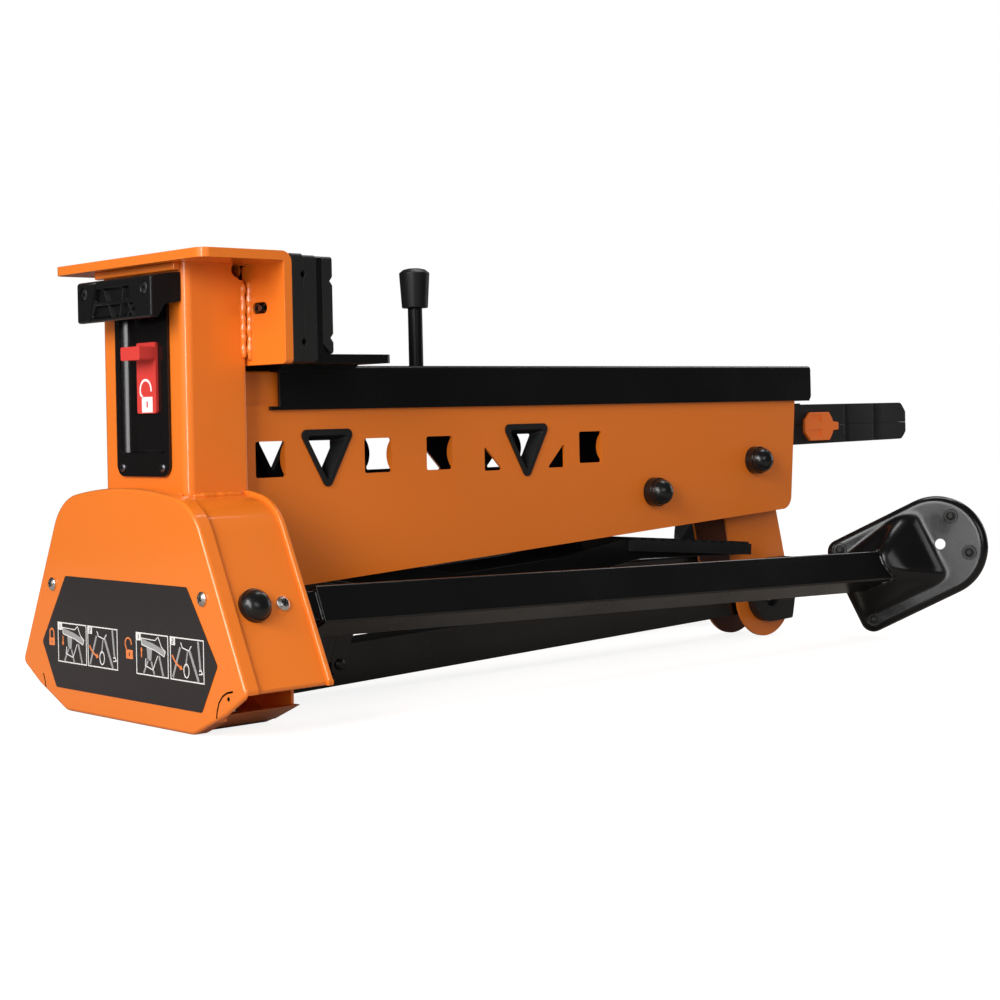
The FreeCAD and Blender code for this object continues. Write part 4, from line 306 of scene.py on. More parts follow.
def crosses(places, reach, width):
    """Cross-shaped recesses; each place is the recess's floor and the way out of it."""
    shape = bmesh.new()
    for floor, out in places:
        side = out.cross(UP).normalized()
        rise = side.cross(out).normalized()
        turned = (side + rise * 0.45).normalized()
        other = out.cross(turned)
        a = reach * MM
        b = width / 2 * MM
        corners = [(a, -b), (a, b), (b, b), (b, a), (-b, a), (-b, b), (-a, b), (-a, -b), (-b, -b), (-b, -a),
                   (b, -a), (b, -b)]
        add_prism(shape, [floor + turned * u + other * v for u, v in corners], out * (3.0 * MM))
    face_outward(shape)
    return shape


def bright_crosses():
    cheek = cheek_point(52.0, SHELL_DEPTH - 1.7)
    places = [(at(-7.0, side * 112.5, 103.8), FRONT) for side in (-1, 1)]
    places += [(cheek, CHEEK_OUT), (mirrored(cheek), mirrored(CHEEK_OUT))]
    return crosses(places, 2.9, 1.2)


def black_crosses():
    spots = ((13.7, 29.7, 200.5), (-9.1, 45.3, 341.0))
    places = [(at(x, side * y, z), FRONT) for side in (-1, 1) for x, y, z in spots]
    return crosses(places, 2.0, 0.9)


SLIT = [(-127.9, 16.0), (-129.0, 21.5), (-131.6, 28.0), (-136.4, 33.2), (-142.4, 36.3), (-150.2, 37.9)]
SLIT_WIDTH = 1.5
SLIT_HOLE = (-144.3, 32.0)


def circle(centre_y, centre_z, radius, x, count=20):
    """Outline of a round seen from the front."""
    ring = []
    for k in range(count):
        turn = 2 * math.pi * k / count
        ring.append(at(x, centre_y + radius * math.cos(turn), centre_z + radius * math.sin(turn)))
    return ring


def cover_slits():
    """Curved slits at the cover's lower corners, where an ear is bent, and a small hole in one ear."""
    outlines = []
    for side, curve in ((1, SLIT), (-1, SLIT[:3])):
        outer = []
        inner = []
        for i, (y, z) in enumerate(curve):
            before = Vector(curve[max(i - 1, 0)])
            after = Vector(curve[min(i + 1, len(curve) - 1)])
            way = (after - before).normalized()
            off = Vector((-way.y, way.x)) * (SLIT_WIDTH / 2)
            outer.append(at(-4.2, side * (y + off.x), z + off.y))
            inner.append(at(-4.2, side * (y - off.x), z - off.y))
        outlines.append(outer + inner[::-1])
    outlines.append(circle(SLIT_HOLE[0], SLIT_HOLE[1], 1.7, -4.2))
    return prisms(outlines, FRONT * (4.0 * MM))


PEEP = [(64.9, 359.0), (73.3, 359.8), (79.0, 356.5), (79.0, 349.3), (75.9, 347.6), (69.2, 348.2),
        (66.0, 352.0)]


def column_peep():
    """Opening at the top of the column's near side, behind the shelf; its cut faces are painted near black
    as shade.
    """
    return prisms([[at(x, -61.0, z) for x, z in PEEP]], Vector((0.0, 5.5 * MM, 0.0)))


# Bands along the grip: start, stop and how deep they lie under its outside
GRIP_BANDS = ((890.0, 890.1, 0.0), (892.0, 896.4, 1.9), (899.4, 942.0, 0.7), (943.6, 947.4, 1.9),
              (950.6, 963.0, 0.8), (964.0, 1010.0, 1.3))
GRIP_HALF = 20.0
CLEAR_OF_GRIP = 24.0
GRIP_SPAN = (190.0, 250.0)


def grip_steps():
    """Bands of the tail grip that lie deeper than its outside, cut as one outline on each side."""
    outlines = []
    for side in (-1, 1):
        steps = [(GRIP_BANDS[0][0], CLEAR_OF_GRIP)]
        for start, stop, deep in GRIP_BANDS:
            steps += [(start, GRIP_HALF - deep), (stop, GRIP_HALF - deep)]
        steps.append((GRIP_BANDS[-1][1], CLEAR_OF_GRIP))
        outlines.append([at(x, side * y, GRIP_SPAN[0]) for x, y in steps])
    return prisms(outlines, UP * ((GRIP_SPAN[1] - GRIP_SPAN[0]) * MM))


def button_pockets():
    """Two shallow pockets in each side of the orange catch."""
    spans = []
    for side in (-1, 1):
        ys = sorted((side * 22.0, side * 25.0))
        spans.append(((827.0, 847.0), ys, (221.5, 228.5)))
        spans.append(((827.0, 847.0), ys, (206.0, 213.0)))
    return boxes(spans)


VENT_ROWS = (
    ((21.0, 342.0), (-24.0, 342.0), (-28.2, 333.3), (23.6, 333.3)),
    ((25.4, 330.2), (-30.2, 330.2), (-36.0, 320.4), (29.9, 320.4)),
)


def vent_windows():
    return prisms([[at(-6.3, y, z) for y, z in row] for row in VENT_ROWS], FRONT * (6.0 * MM))


def vent_seam():
    corners = [(24.9, 350.0), (23.9, 350.0), (36.4, 316.0), (37.4, 316.0)]
    return prisms([[at(-9.4, y, z) for y, z in corners]], FRONT * (4.0 * MM))


# Shapes cut into pieces, with the material of the cut faces; the near-black one is painted shade
CUTTERS = {
    "vent_cover": ((vent_windows, PAINTED_RECESS_SHADE), (vent_seam, PAINTED_RECESS_SHADE)),
    # The bright screws' cross recesses take dark steel as painted shade
    "bright_screws": ((bright_crosses, STEEL),),
    "black_screws": ((black_crosses, BLACK_GLOSS),),
    "front_cover": ((cover_slits, PAINTED_RECESS_SHADE),),
    "column": ((column_peep, PAINTED_RECESS_SHADE),),
    "tail_grip_upper": ((grip_steps, None),),
    "tail_grip_lower": ((grip_steps, None),),
    "grip_button": ((button_pockets, None),),
}


# Faces inside the body and the tail bracket that take painted shade: the orange coat there lies in shadow
# and is given a near-black or dark brown colour
PLATE_INNER = 0.0414
RAIL_UNDERSIDE = 0.2483
BRACKET_INNER = 0.0212


def inside_near_plate(centre, normal):
    lip = centre.y > -PLATE_INNER and normal.y < 0.5
    return normal.y > 0.5 or (lip and normal.x > 0.3)


def inside_far_plate(centre, normal):
    return normal.y < -0.5 or centre.y < PLATE_INNER


def under_rail_top(centre, _):
    return centre.z < RAIL_UNDERSIDE


def inside_bracket(centre, normal):
    return abs(centre.y) < BRACKET_INNER and normal.x < 0.3


PAINTED_SHADE_FACES = {
    "side_plate_near": (inside_near_plate, PAINTED_INSIDE_SHADE), "side_plate_far": (inside_far_plate, PAINTED_INSIDE_SHADE),
    "rail_near": (under_rail_top, PAINTED_INSIDE_SHADE), "rail_far": (under_rail_top, PAINTED_INSIDE_SHADE),
    "tail_bracket": (inside_bracket, PAINTED_BRACKET_SHADE),
}


# Edges with a larger rounding than the rest of their piece
def cover_outline(spot):
    by_screw = abs(abs(spot.y) - 0.1125) < 0.009 and abs(spot.z - 0.1038) < 0.009
    return spot.x < -0.5032 and not by_screw


def vent_outline(spot):
    return spot.x < -0.5052 and abs(spot.y) > 0.0558


WIDE_EDGES = {"vent_cover": (vent_outline, 1.8), "front_cover": (cover_outline, 3.0)}

# A copied mesh: points this close in metres are one, faces that turn by less degrees are joined,
# and edges that turn by more are sharp
WELD_DISTANCE = 2e-6
FLAT_WITHIN = 0.6
SHARP_FROM = 28.0

# Pieces whose outer edges take the whole width, apart from the lowest rim, which is too thin for it
FULL_BEVEL = ("headstock_shell",)

# Lower rims that the opened legs pass closely
PASSED_BY_LEGS = ("headstock_shell", "front_cover")
RIM_TOP = 0.04


def stands_out(point, solid):
    """True where the point lies outside the solid, by counting the surfaces along a line."""
    along = Vector((0.31, 0.52, 0.79)).normalized()
    start = point.copy()
    crossed = 0
    place = solid.ray_cast(start, along)[0]
    while place is not None and crossed < 60:
        crossed += 1
        start = place + along * 1e-6
        place = solid.ray_cast(start, along)[0]
    return crossed % 2 == 0


def hold_rim(shape, solid):
    """Puts what the rounding pushed out of the lower rim back onto the solid."""
    for vertex in shape.verts:
        if vertex.co.z < RIM_TOP:
            place, _, _, gap = solid.find_nearest(vertex.co)
            if gap > 0.2 * MM and stands_out(vertex.co, solid):
                vertex.co = place


def solid_copy(node):
    """Copy of a CAD node's mesh with its flat faces joined up."""
    shape = bmesh.new()
    shape.from_mesh(NODES[node].data)
    bmesh.ops.remove_doubles(shape, verts=shape.verts, dist=WELD_DISTANCE)
    bmesh.ops.dissolve_limit(shape, angle_limit=math.radians(FLAT_WITHIN), use_dissolve_boundaries=False,
                             verts=shape.verts, edges=shape.edges)
    return shape


def round_edges(shape, edges, width, segments, clamped):
    bmesh.ops.bevel(shape, geom=edges, offset=width * MM, offset_type="OFFSET", segments=segments,
                    profile=0.5, affect="EDGES", clamp_overlap=clamped)


def sharp_edges(shape):
    """Outer edges where two faces meet at a clear angle."""
    limit = math.radians(SHARP_FROM)
    return [edge for edge in shape.edges
            if len(edge.link_faces) == 2 and edge.is_convex and edge.calc_face_angle(0.0) > limit]


def soften(node, body, width):
    """Stands for a CAD node: the same solid with its sharp outer edges rounded off."""
    shape = solid_copy(node)
    solid = BVHTree.FromBMesh(shape)
    if node in WIDE_EDGES:
        belongs, wide = WIDE_EDGES[node]
        outline = [edge for edge in sharp_edges(shape) if all(belongs(vertex.co) for vertex in edge.verts)]
        round_edges(shape, outline, wide, 5, False)
    edges = sharp_edges(shape)
    if node in FULL_BEVEL:
        edges = [edge for edge in edges if max(vertex.co.z for vertex in edge.verts) > RIM_TOP]
    round_edges(shape, edges, width, 2, node not in FULL_BEVEL)
    if node in PASSED_BY_LEGS:
        hold_rim(shape, solid)
    face_outward(shape)
    materials = [NODES[node].data.materials[0]]
    # Faces that lie in shadow take painted shade as a second material
    if node in PAINTED_SHADE_FACES:
        is_dark, shade = PAINTED_SHADE_FACES[node]
        materials.append(shade)
        for face in shape.faces:
            face.material_index = 1 if is_dark(face.calc_center_median(), face.normal) else 0
    cutters = [(make(), inside) for make, inside in CUTTERS.get(node, ())]
    piece = new_piece(node + "_dressed", shape, materials, body, cutters=cutters)
    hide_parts(node)


# Rounding of each dressed node in millimetres, by body
SOFT = {
    FRAME_BODY: {"front_cover": 1.4, "headstock_shell": 1.2, "base_pan": 0.9, "column": 1.0,
                 "jaw_plate": 1.5, "side_plate_near": 0.8, "side_plate_far": 0.8, "rail_near": 1.0,
                 "rail_far": 1.0, "bezels_near": 0.8, "bezels_far": 0.8, "tail_bracket": 0.9,
                 "pivot_covers": 1.8, "switch_panel": 0.9, "vent_cover": 0.8, "fixed_facing": 0.8,
                 "tail_grip_upper": 1.4, "tail_grip_lower": 1.4, "bright_screws": 0.3,
                 "black_screws": 0.2},
    SWITCH: {"lock_slider": 0.8},
    JAW: {"slide_channel": 0.8, "moving_jaw": 1.0, "moving_facing": 0.8, "rear_facing": 0.8},
    STICK: {"stick_knob": 0.8},
    LEG_NEAR: {"front_leg_near": 0.5, "leg_root_near": 1.2},
    LEG_FAR: {"front_leg_far": 0.5, "leg_root_far": 1.2},
    LEG_REAR: {"rear_leg": 1.5, "rear_foot": 0.8, "leg_catch": 0.5},
    PEDAL: {"pedal_arms": 0.9, "pedal_treads": 0.6},
    BUTTON: {"grip_button": 0.8},
}
for body_name, widths in SOFT.items():
    for node_name, edge_width in widths.items():
        soften(node_name, body_name, edge_width)


def round_plate():
    """The directions plate with rounded corners."""
    node = "instruction_plate"
    shape = solid_copy(node)
    corners = []
    for edge in shape.edges:
        way = (edge.verts[0].co - edge.verts[1].co).normalized()
        if abs(way.x) > 0.99 and edge.calc_face_angle(0.0) > 0.2:
            corners.append(edge)
    round_edges(shape, corners, 4.0, 6, False)
    face_outward(shape)
    piece = new_piece(node + "_rounded", shape, [PLATE], FRAME_BODY)
    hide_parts(node)


round_plate()


# Pressed front feet: rounded rim and a sloping crown that the tube ends in
LEG_OPEN = 97.0
FOOT_TURN = Matrix.Rotation(math.radians(-LEG_OPEN), 3, -CHEEK_OUT)
FOOT_SPOT = (-94.0, -410.0, -617.0)
FOOT_HALF = 51.5
FOOT_CORNER = 13.0
FOOT_ROUND = 105.0
FOOT_RIM = 9.0
FOOT_SHEET = 3.0
RIM_ROUND = 7.0
RINGS = 30
CROWN_TOP = 32.0
CROWN_SOFT = 16.0
SOLE_MIDDLE = 60.0
HOLE_RADIUS = 5.5
HOLE_OUT = 110.0


def foot_point(u, v, high):
    """Place on the folded near foot: across the sole, outward along it, and above its top face."""
    opened = at(FOOT_SPOT[0] + u, FOOT_SPOT[1] - v, FOOT_SPOT[2] + high)
    return LEG_PIVOT + FOOT_TURN @ (opened - LEG_PIVOT)


def foot_place(point):
    """The same three lengths for a given place."""
    opened = LEG_PIVOT + FOOT_TURN.transposed() @ (point - LEG_PIVOT)
    offset = (opened - at(*FOOT_SPOT)) / MM
    return offset.x, -offset.y, offset.z


def blend_low(values, reach):
    """Smallest of the values, with a soft change from one to the next."""
    lowest = values[0]
    for value in values[1:]:
        share = max(reach - abs(lowest - value), 0.0) / reach
        lowest = min(lowest, value) - share * share * reach / 4
    return lowest


def crown(u, v):
    """Height of the raised crown above the sole."""
    far_side = min(33.0 + (v - 27.0) * 0.2, 42.0) - u
    top = CROWN_TOP + 0.155 * u + 0.3 * (v - 54.0)
    flanks = [far_side * 1.5, (u + 33.0) * 1.5, (99.0 - v) * 0.85, (v - 8.0) * 2.4]
    high = blend_low(flanks + [top], CROWN_SOFT)
    if high < -5.0:
        return 0.0
    return high if high > 5.0 else (high + 5.0) ** 2 / 20.0


def foot_outline(inset):
    """Outline of the sole, moved inward."""
    places = []

    def turn_about(u, v, radius, start, stop, steps):
        for i in range(steps + 1):
            turn = math.radians(start + (stop - start) * i / steps)
            places.append((u + radius * math.cos(turn), v + radius * math.sin(turn)))

    def straight(end, steps):
        first = places[-1]
        for i in range(1, steps):
            places.append(tuple(a + (b - a) * i / steps for a, b in zip(first, end)))

    small = FOOT_CORNER - inset
    middle = FOOT_HALF - FOOT_CORNER
    turn_about(-middle, FOOT_CORNER, small, 180, 270, 8)
    straight((middle, inset), 20)
    turn_about(middle, FOOT_CORNER, small, 270, 360, 8)
    straight((FOOT_HALF - inset, FOOT_ROUND), 24)
    turn_about(0.0, FOOT_ROUND, FOOT_HALF - inset, 0, 180, 40)
    straight((inset - FOOT_HALF, FOOT_CORNER), 24)
    return places


def foot_rings():
    """Rings of (u, v, height) from the middle of the underside over the rim to the middle of the top."""
    inner = foot_outline(12.0)
    under = []
    over = []
    for i in range(RINGS):
        share = i / RINGS
        ring = [(u - u * share, v + (SOLE_MIDDLE - v) * share) for u, v in inner]
        over.append([(u, v, crown(u, v)) for u, v in ring])
        under.append([(u, v, crown(u, v) - FOOT_SHEET) for u, v in ring])
    rings = under[::-1]
    for inset, high in ((7.0, -3.2), (4.4, -5.0), (3.2, -8.0), (3.0, -FOOT_RIM), (0.5, -FOOT_RIM),
                        (0.0, -8.6)):
        rings.append([(u, v, high) for u, v in foot_outline(inset)])
    for i in range(9):
        turn = math.radians(90.0 * i / 8)
        inset = RIM_ROUND * (1 - math.cos(turn))
        high = RIM_ROUND * (math.sin(turn) - 1)
        rings.append([(u, v, high + crown(u, v) * i / 8) for u, v in foot_outline(inset)])
    for inset in (9.0, 10.5):
        rings.append([(u, v, crown(u, v)) for u, v in foot_outline(inset)])
    return rings + over


def foot_hole():
    """Outline under the sole and the way up through it."""
    turns = [2 * math.pi * i / 32 for i in range(32)]
    ring = [(HOLE_RADIUS * math.cos(turn), HOLE_OUT + HOLE_RADIUS * math.sin(turn)) for turn in turns]
    return [foot_point(u, v, -20.0) for u, v in ring], foot_point(0, 0, 30.0) - foot_point(0, 0, 0.0)


def pressed_foot(node, body, flip):
    shape = bmesh.new()
    rows = []
    for ring in foot_rings():
        places = [foot_point(*place) for place in ring]
        rows.append([shape.verts.new(mirrored(place) if flip else place) for place in places])
    for first, second in zip(rows, rows[1:]):
        for i in range(len(first)):
            j = (i + 1) % len(first)
            shape.faces.new((first[i], first[j], second[j], second[i]))
    peak = crown(0.0, SOLE_MIDDLE)
    for row, high in ((rows[0], peak - FOOT_SHEET), (rows[-1], peak)):
        middle = foot_point(0.0, SOLE_MIDDLE, high)
        tip = shape.verts.new(mirrored(middle) if flip else middle)
        for i in range(len(row)):
            shape.faces.new((row[i], row[(i + 1) % len(row)], tip))
    face_outward(shape)
    ring, lift = foot_hole()
    if flip:
        ring = [mirrored(place) for place in ring]
        lift = mirrored(lift)
    piece = new_piece(node + "_pressed", shape, [FOOT_COAT], body, smooth=40.0,
                      cutters=[(prisms([ring], lift), None)])
    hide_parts(node)


pressed_foot("front_foot_near", LEG_NEAR, False)
pressed_foot("front_foot_far", LEG_FAR, True)


# Print on the directions plate and the sign on the red slider
PRINT_X = -6.0
SIGN_X = 19.1
INK_HIGH = 0.12
INK_SUNK = 0.03
BOX_OVER = 0.04
OVER_GREY = 0.06
OVER_LIGHT = 0.08


def ink_patch(shape, x, places, proud=0.0):
    """Thin layer of ink on the surface at x, raised by proud where it lies on other ink."""
    lift = FRONT * ((INK_HIGH + proud + INK_SUNK) * MM)
    add_prism(shape, [at(x + INK_SUNK, y, z) for y, z in places], lift)


def ink_line(shape, x, places, width, proud=0.0):
    """Line of even width through the places, with mitred corners; it closes on itself if its ends meet."""
    closed = places[0] == places[-1]
    spots = [Vector(place) for place in (places[:-1] if closed else places)]
    count = len(spots)
    left = []
    right = []
    for i, spot in enumerate(spots):
        before = spots[i - 1] if (closed or i > 0) else None
        after = spots[(i + 1) % count] if (closed or i < count - 1) else None
        ways = [(spot - before).normalized()] if before is not None else []
        ways += [(after - spot).normalized()] if after is not None else []
        middle = (ways[0] + ways[-1]).normalized()
        normal = Vector((-middle.y, middle.x))
        stretch = 1.0 / max(0.45, abs(middle.dot(ways[0])))
        left.append(spot + normal * (width / 2 * stretch))
        right.append(spot - normal * (width / 2 * stretch))
    for i in range(count if closed else count - 1):
        j = (i + 1) % count
        ink_patch(shape, x, [tuple(left[i]), tuple(left[j]), tuple(right[j]), tuple(right[i])], proud)


def arc(centre, radius, start, stop, steps=10):
    """Places on an arc; angles in degrees, zero towards the picture's right and counted upwards."""
    places = []
    for i in range(steps + 1):
        turn = math.radians(start + (stop - start) * i / steps)
        places.append((centre[0] - radius * math.cos(turn), centre[1] + radius * math.sin(turn)))
    return places


def ink_piece(name, shape, material, body):
    face_outward(shape)
    new_piece(name, shape, [material], body)


BOX_LOW = 40.5
BOX_HIGH = 72.5
BOX_WIDE = 45.6
BOX_LEFTS = (104.3, 56.0, -18.4, -67.6)


def in_box(left, places):
    """Places in one picture box, given as shares of its width and height."""
    return [(left - u * BOX_WIDE, BOX_LOW + v * (BOX_HIGH - BOX_LOW)) for u, v in places]


def box_line(shape, left, places, width, proud=0.0):
    ink_line(shape, PRINT_X, in_box(left, places), width, proud)


def draw_stand(light, grey, left):
    """Stand on three legs with its slide on top."""
    box_line(grey, left, [(0.16, 0.80), (0.52, 0.72), (0.90, 0.58)], 4.2)
    box_line(light, left, [(0.16, 0.88), (0.60, 0.86), (0.70, 0.95), (0.80, 0.72), (0.92, 0.62),
                           (0.88, 0.50), (0.60, 0.62), (0.18, 0.72), (0.16, 0.88)], 0.7, OVER_GREY)
    ink_patch(grey, PRINT_X, in_box(left, [(0.33, 0.66), (0.50, 0.64), (0.47, 0.36), (0.36, 0.34)]))
    box_line(grey, left, [(0.38, 0.38), (0.22, 0.03)], 2.0)
    box_line(grey, left, [(0.47, 0.34), (0.56, 0.03)], 2.0)
    box_line(grey, left, [(0.72, 0.50), (0.84, 0.03)], 2.2)
    box_line(light, left, [(0.30, 0.40), (0.28, 0.22), (0.52, 0.14), (0.68, 0.50)], 0.8, OVER_GREY)


def draw_pedal(light, grey, left):
    """Legs with the looped pedal between them and a foot beside them."""
    box_line(grey, left, [(0.30, 0.78), (0.06, 0.04)], 2.2)
    box_line(grey, left, [(0.58, 0.72), (0.84, 0.03)], 2.6)
    box_line(grey, left, [(0.84, 0.97), (0.90, 0.30)], 2.4)
    box_line(light, left, [(0.32, 0.90), (0.36, 0.78), (0.56, 0.72), (0.64, 0.84)], 0.8, OVER_GREY)
    box_line(grey, left, [(0.52, 0.70), (0.46, 0.34)], 1.6)
    centre = in_box(left, [(0.48, 0.24)])[0]
    loop = [(centre[0] - 3.6 * math.cos(t * math.pi / 7), centre[1] + 5.2 * math.sin(t * math.pi / 7))
            for t in range(14)]
    loop.append(loop[0])
    ink_line(light, PRINT_X, loop, 0.9, OVER_GREY)
    box_line(light, left, [(0.86, 0.28), (0.92, 0.30), (0.96, 0.22), (0.86, 0.20)], 0.9, OVER_GREY)


def ink_arrow(shape, places, width, head):
    ink_line(shape, PRINT_X, places, width, OVER_LIGHT)
    tip = Vector(places[-1])
    way = (tip - Vector(places[-2])).normalized()
    across = Vector((-way.y, way.x))
    point = tip + way * head
    wing = across * (head * 0.6)
    ink_patch(shape, PRINT_X, [tuple(tip + wing), tuple(point), tuple(tip - wing)], OVER_LIGHT)


def closed_lock(shape, keyhole, x, left, right, low_z, high_z):
    ink_patch(shape, x, [(left, low_z), (right, low_z), (right, high_z), (left, high_z)])
    middle = (left + right) / 2
    radius = (left - right) / 2 - 1.2
    bow = arc((middle, high_z + 4.2), radius, 180, 0)
    ink_line(shape, x, [(middle + radius, high_z)] + bow + [(middle - radius, high_z)], 1.4)
    ink_line(keyhole, x - INK_HIGH, [(middle, high_z - 2.6), (middle, low_z + 2.0)], 1.1)


def open_lock(shape, keyhole, x, left, right, low_z, high_z, radius, rise, width):
    """Padlock whose bow has swung clear at the right."""
    ink_patch(shape, x, [(left, low_z), (right, low_z), (right, high_z), (left, high_z)])
    foot = left - width * 0.7
    centre = (foot - radius * 0.55, high_z + rise)
    bow = [(foot, high_z)] + arc(centre, radius, 205, -8, 12)
    ink_line(shape, x, bow, width)
    middle = (left + right) / 2
    tall = high_z - low_z
    slot = [(middle, high_z - 0.3 * tall), (middle, low_z + 0.32 * tall)]
    ink_line(keyhole, x - INK_HIGH, slot, 0.12 * (left - right))


def print_plate():
    light, grey, orange, dark = (bmesh.new() for _ in range(4))
    for index, left in enumerate(BOX_LEFTS):
        frame_line = in_box(left, [(0, 0), (1, 0), (1, 1), (0, 1), (0, 0)])
        ink_line(light, PRINT_X, frame_line, 0.9, BOX_OVER)
        tab_end = left - 6.6
        tab_low = BOX_HIGH - 6.0
        tab = [(left, BOX_HIGH), (tab_end, BOX_HIGH), (tab_end, tab_low), (left, tab_low)]
        ink_patch(light, PRINT_X, tab)
        y = left - 3.3
        if index % 2 == 0:
            numeral = [(y, BOX_HIGH - 1.4), (y, BOX_HIGH - 4.8)]
            draw_stand(light, grey, left)
        else:
            numeral = [(y + 1.0, BOX_HIGH - 1.4), (y - 1.0, BOX_HIGH - 1.4), (y - 1.0, BOX_HIGH - 3.0),
                       (y + 1.0, BOX_HIGH - 3.2), (y + 1.0, BOX_HIGH - 4.8), (y - 1.0, BOX_HIGH - 4.8)]
            draw_pedal(light, grey, left)
        ink_line(dark, PRINT_X - INK_HIGH, numeral, 0.7)
    ink_arrow(orange, [(96.4, 61.7), (96.4, 56.6)], 1.3, 3.0)
    ink_arrow(orange, [(-25.8, 53.7), (-25.8, 58.8)], 1.3, 3.0)
    ink_arrow(orange, [(53.6, 56.9), (50.6, 53.4), (46.6, 50.8), (42.8, 49.4)], 1.5, 3.6)
    ink_arrow(orange, [(-69.9, 58.9), (-72.6, 55.4), (-76.6, 52.2), (-81.0, 50.2)], 1.5, 3.6)
    closed_lock(orange, dark, PRINT_X, 119.4, 110.4, 52.8, 59.0)
    open_lock(orange, dark, PRINT_X, -2.8, -12.8, 51.0, 58.1, 4.6, 4.6, 1.3)
    for name, shape, ink in (("light", light, WHITE_INK), ("grey", grey, GREY_INK),
                             ("orange", orange, ORANGE_INK), ("dark", dark, PLATE)):
        ink_piece("plate_lines_" + name, shape, ink, FRAME_BODY)


def print_slider():
    white = bmesh.new()
    red = bmesh.new()
    open_lock(white, red, SIGN_X, 7.0, -8.9, 244.6, 257.0, 8.2, 5.4, 1.9)
    ink_piece("slider_sign", white, SIGN_WHITE, SWITCH)
    ink_piece("slider_keyhole", red, RED, SWITCH)


print_plate()
print_slider()


def tray_coves():
    """Coves between the switch tray's floor and its walls."""
    shape = bmesh.new()
    curve = ((15.4, 31.9), (15.6, 31.5), (16.1, 30.8), (16.9, 29.9), (18.2, 28.6), (19.4, 27.5),
             (20.3, 26.5), (21.0, 25.2), (21.35, 23.4), (21.45, 21.0))
    for side in (-1, 1):
        outline = [at(x, side * y, 212.6) for x, y in curve] + [at(21.6, side * 32.1, 212.6)]
        add_prism(shape, outline, UP * (132.0 * MM))
    deep = 3.6
    curve = []
    for i in range(7):
        turn = math.radians(90.0 * i / 6)
        curve.append((15.4 + 6.0 * math.sin(turn), 212.0 + deep - deep * math.cos(turn)))
    outline = [at(x, -20.0, z) for x, z in curve] + [at(21.6, -20.0, 211.9)]
    add_prism(shape, outline, Vector((0.0, 40.0 * MM, 0.0)))
    face_outward(shape)
    new_piece("tray_coves", shape, [BLACK_GLOSS], FRAME_BODY, smooth=40.0)


tray_coves()


# Weld beads
BEAD_STEP = 1.1


def bead(name, points, radius, material, body, seed):
    """Lumpy bead along a line of points; the seed shifts its lumps."""
    line = []
    for start, end in zip(points, points[1:]):
        count = max(1, int((end - start).length / (BEAD_STEP * MM)))
        for i in range(count):
            line.append(start.lerp(end, i / count))
    line.append(points[-1])
    sway = Vector((math.sin(seed * 5.0), math.cos(seed * 5.0), 0.3)) * (0.22 * MM)
    line = [point + sway * math.sin(i * 0.53 + seed * 1.7) for i, point in enumerate(line)]
    radii = []
    for i in range(len(line)):
        wave = 0.07 * math.sin(i * 0.9 + seed) + 0.09 * math.sin(i * 0.37 + seed * 2.3)
        wave += 0.03 * math.sin(i * 2.3)
        ends = min(1.0, 0.45 + 0.2 * min(i, len(line) - 1 - i))
        radii.append(radius * MM * (1.0 + wave) * ends)
    shape = bmesh.new()
    add_tube(shape, line, radii, around=9)
    new_piece(name, shape, [material], body, smooth=80.0)


def crown_height(x, y):
    """Height of the headstock shell's outside above a place, found on its CAD mesh."""
    hit = CROWN.ray_cast(at(x, y, 300.0), -UP)
    return hit[0].z if hit[0] is not None else at(0, 0, 175.0).z


def crown_line(places):
    points = []
    for x, y, lift in places:
        point = at(x, y, 0.0)
        point.z = crown_height(x, y) + lift * MM
        points.append(point)
    return points


SHELL_MESH = NODES["headstock_shell"].data
CROWN = BVHTree.FromPolygons([vertex.co for vertex in SHELL_MESH.vertices],
                             [polygon.vertices for polygon in SHELL_MESH.polygons])
HEADSTOCK_WELDS = (
    ("weld_column_front", crown_line([(15.9, y, 0.3) for y in range(-54, 61, 6)]), 1.9, 0.4),
    ("weld_column_near", crown_line([(x, -61.2, 0.6) for x in range(22, 68, 5)]), 2.4, 1.9),
    ("weld_column_far", crown_line([(x, 66.2, 0.6) for x in range(22, 68, 5)]), 2.4, 2.6),
    ("weld_jaw_near", [at(72.2, -60.6, 346.0), at(72.0, -60.6, 286.0)], 2.3, 3.1),
    ("weld_jaw_wall", [at(76.4, -63.6, 347.0), at(76.4, -63.2, 284.0)], 2.6, 0.9),
    ("weld_jaw_far", [at(76.0, 66.4, 346.0), at(76.0, 66.2, 284.0)], 2.6, 1.3),
)
for weld_name, weld_line, weld_radius, weld_seed in HEADSTOCK_WELDS:
    bead(weld_name, weld_line, weld_radius, ORANGE_BEAD, FRAME_BODY, weld_seed)


def on_side(points, side):
    """Points drawn on the near side, or mirrored for the far side."""
    return points if side < 0 else [mirrored(point) for point in points]


def root_weld(side):
    """Line round the root's end, where the tube starts."""
    corners = ((-12.3, 8.0), (12.3, 8.0), (12.3, 33.6), (-12.3, 33.6), (-12.3, 8.0))
    return on_side([leg_point(63.7, down, inward) for down, inward in corners], side)


bead("weld_root_near", root_weld(-1), 1.5, BLACK_COAT, LEG_NEAR, 0.7)
bead("weld_root_far", root_weld(1), 1.5, BLACK_COAT, LEG_FAR, 1.2)


# Weld around the front tubes where they meet the feet
TUBE_CORNERS = ((-15.75, 5.8), (0.0, 5.8), (15.75, 5.8), (15.75, 23.3), (15.75, 40.8), (0.0, 40.8),
                (-15.75, 40.8), (-15.75, 23.3), (-15.75, 5.8))


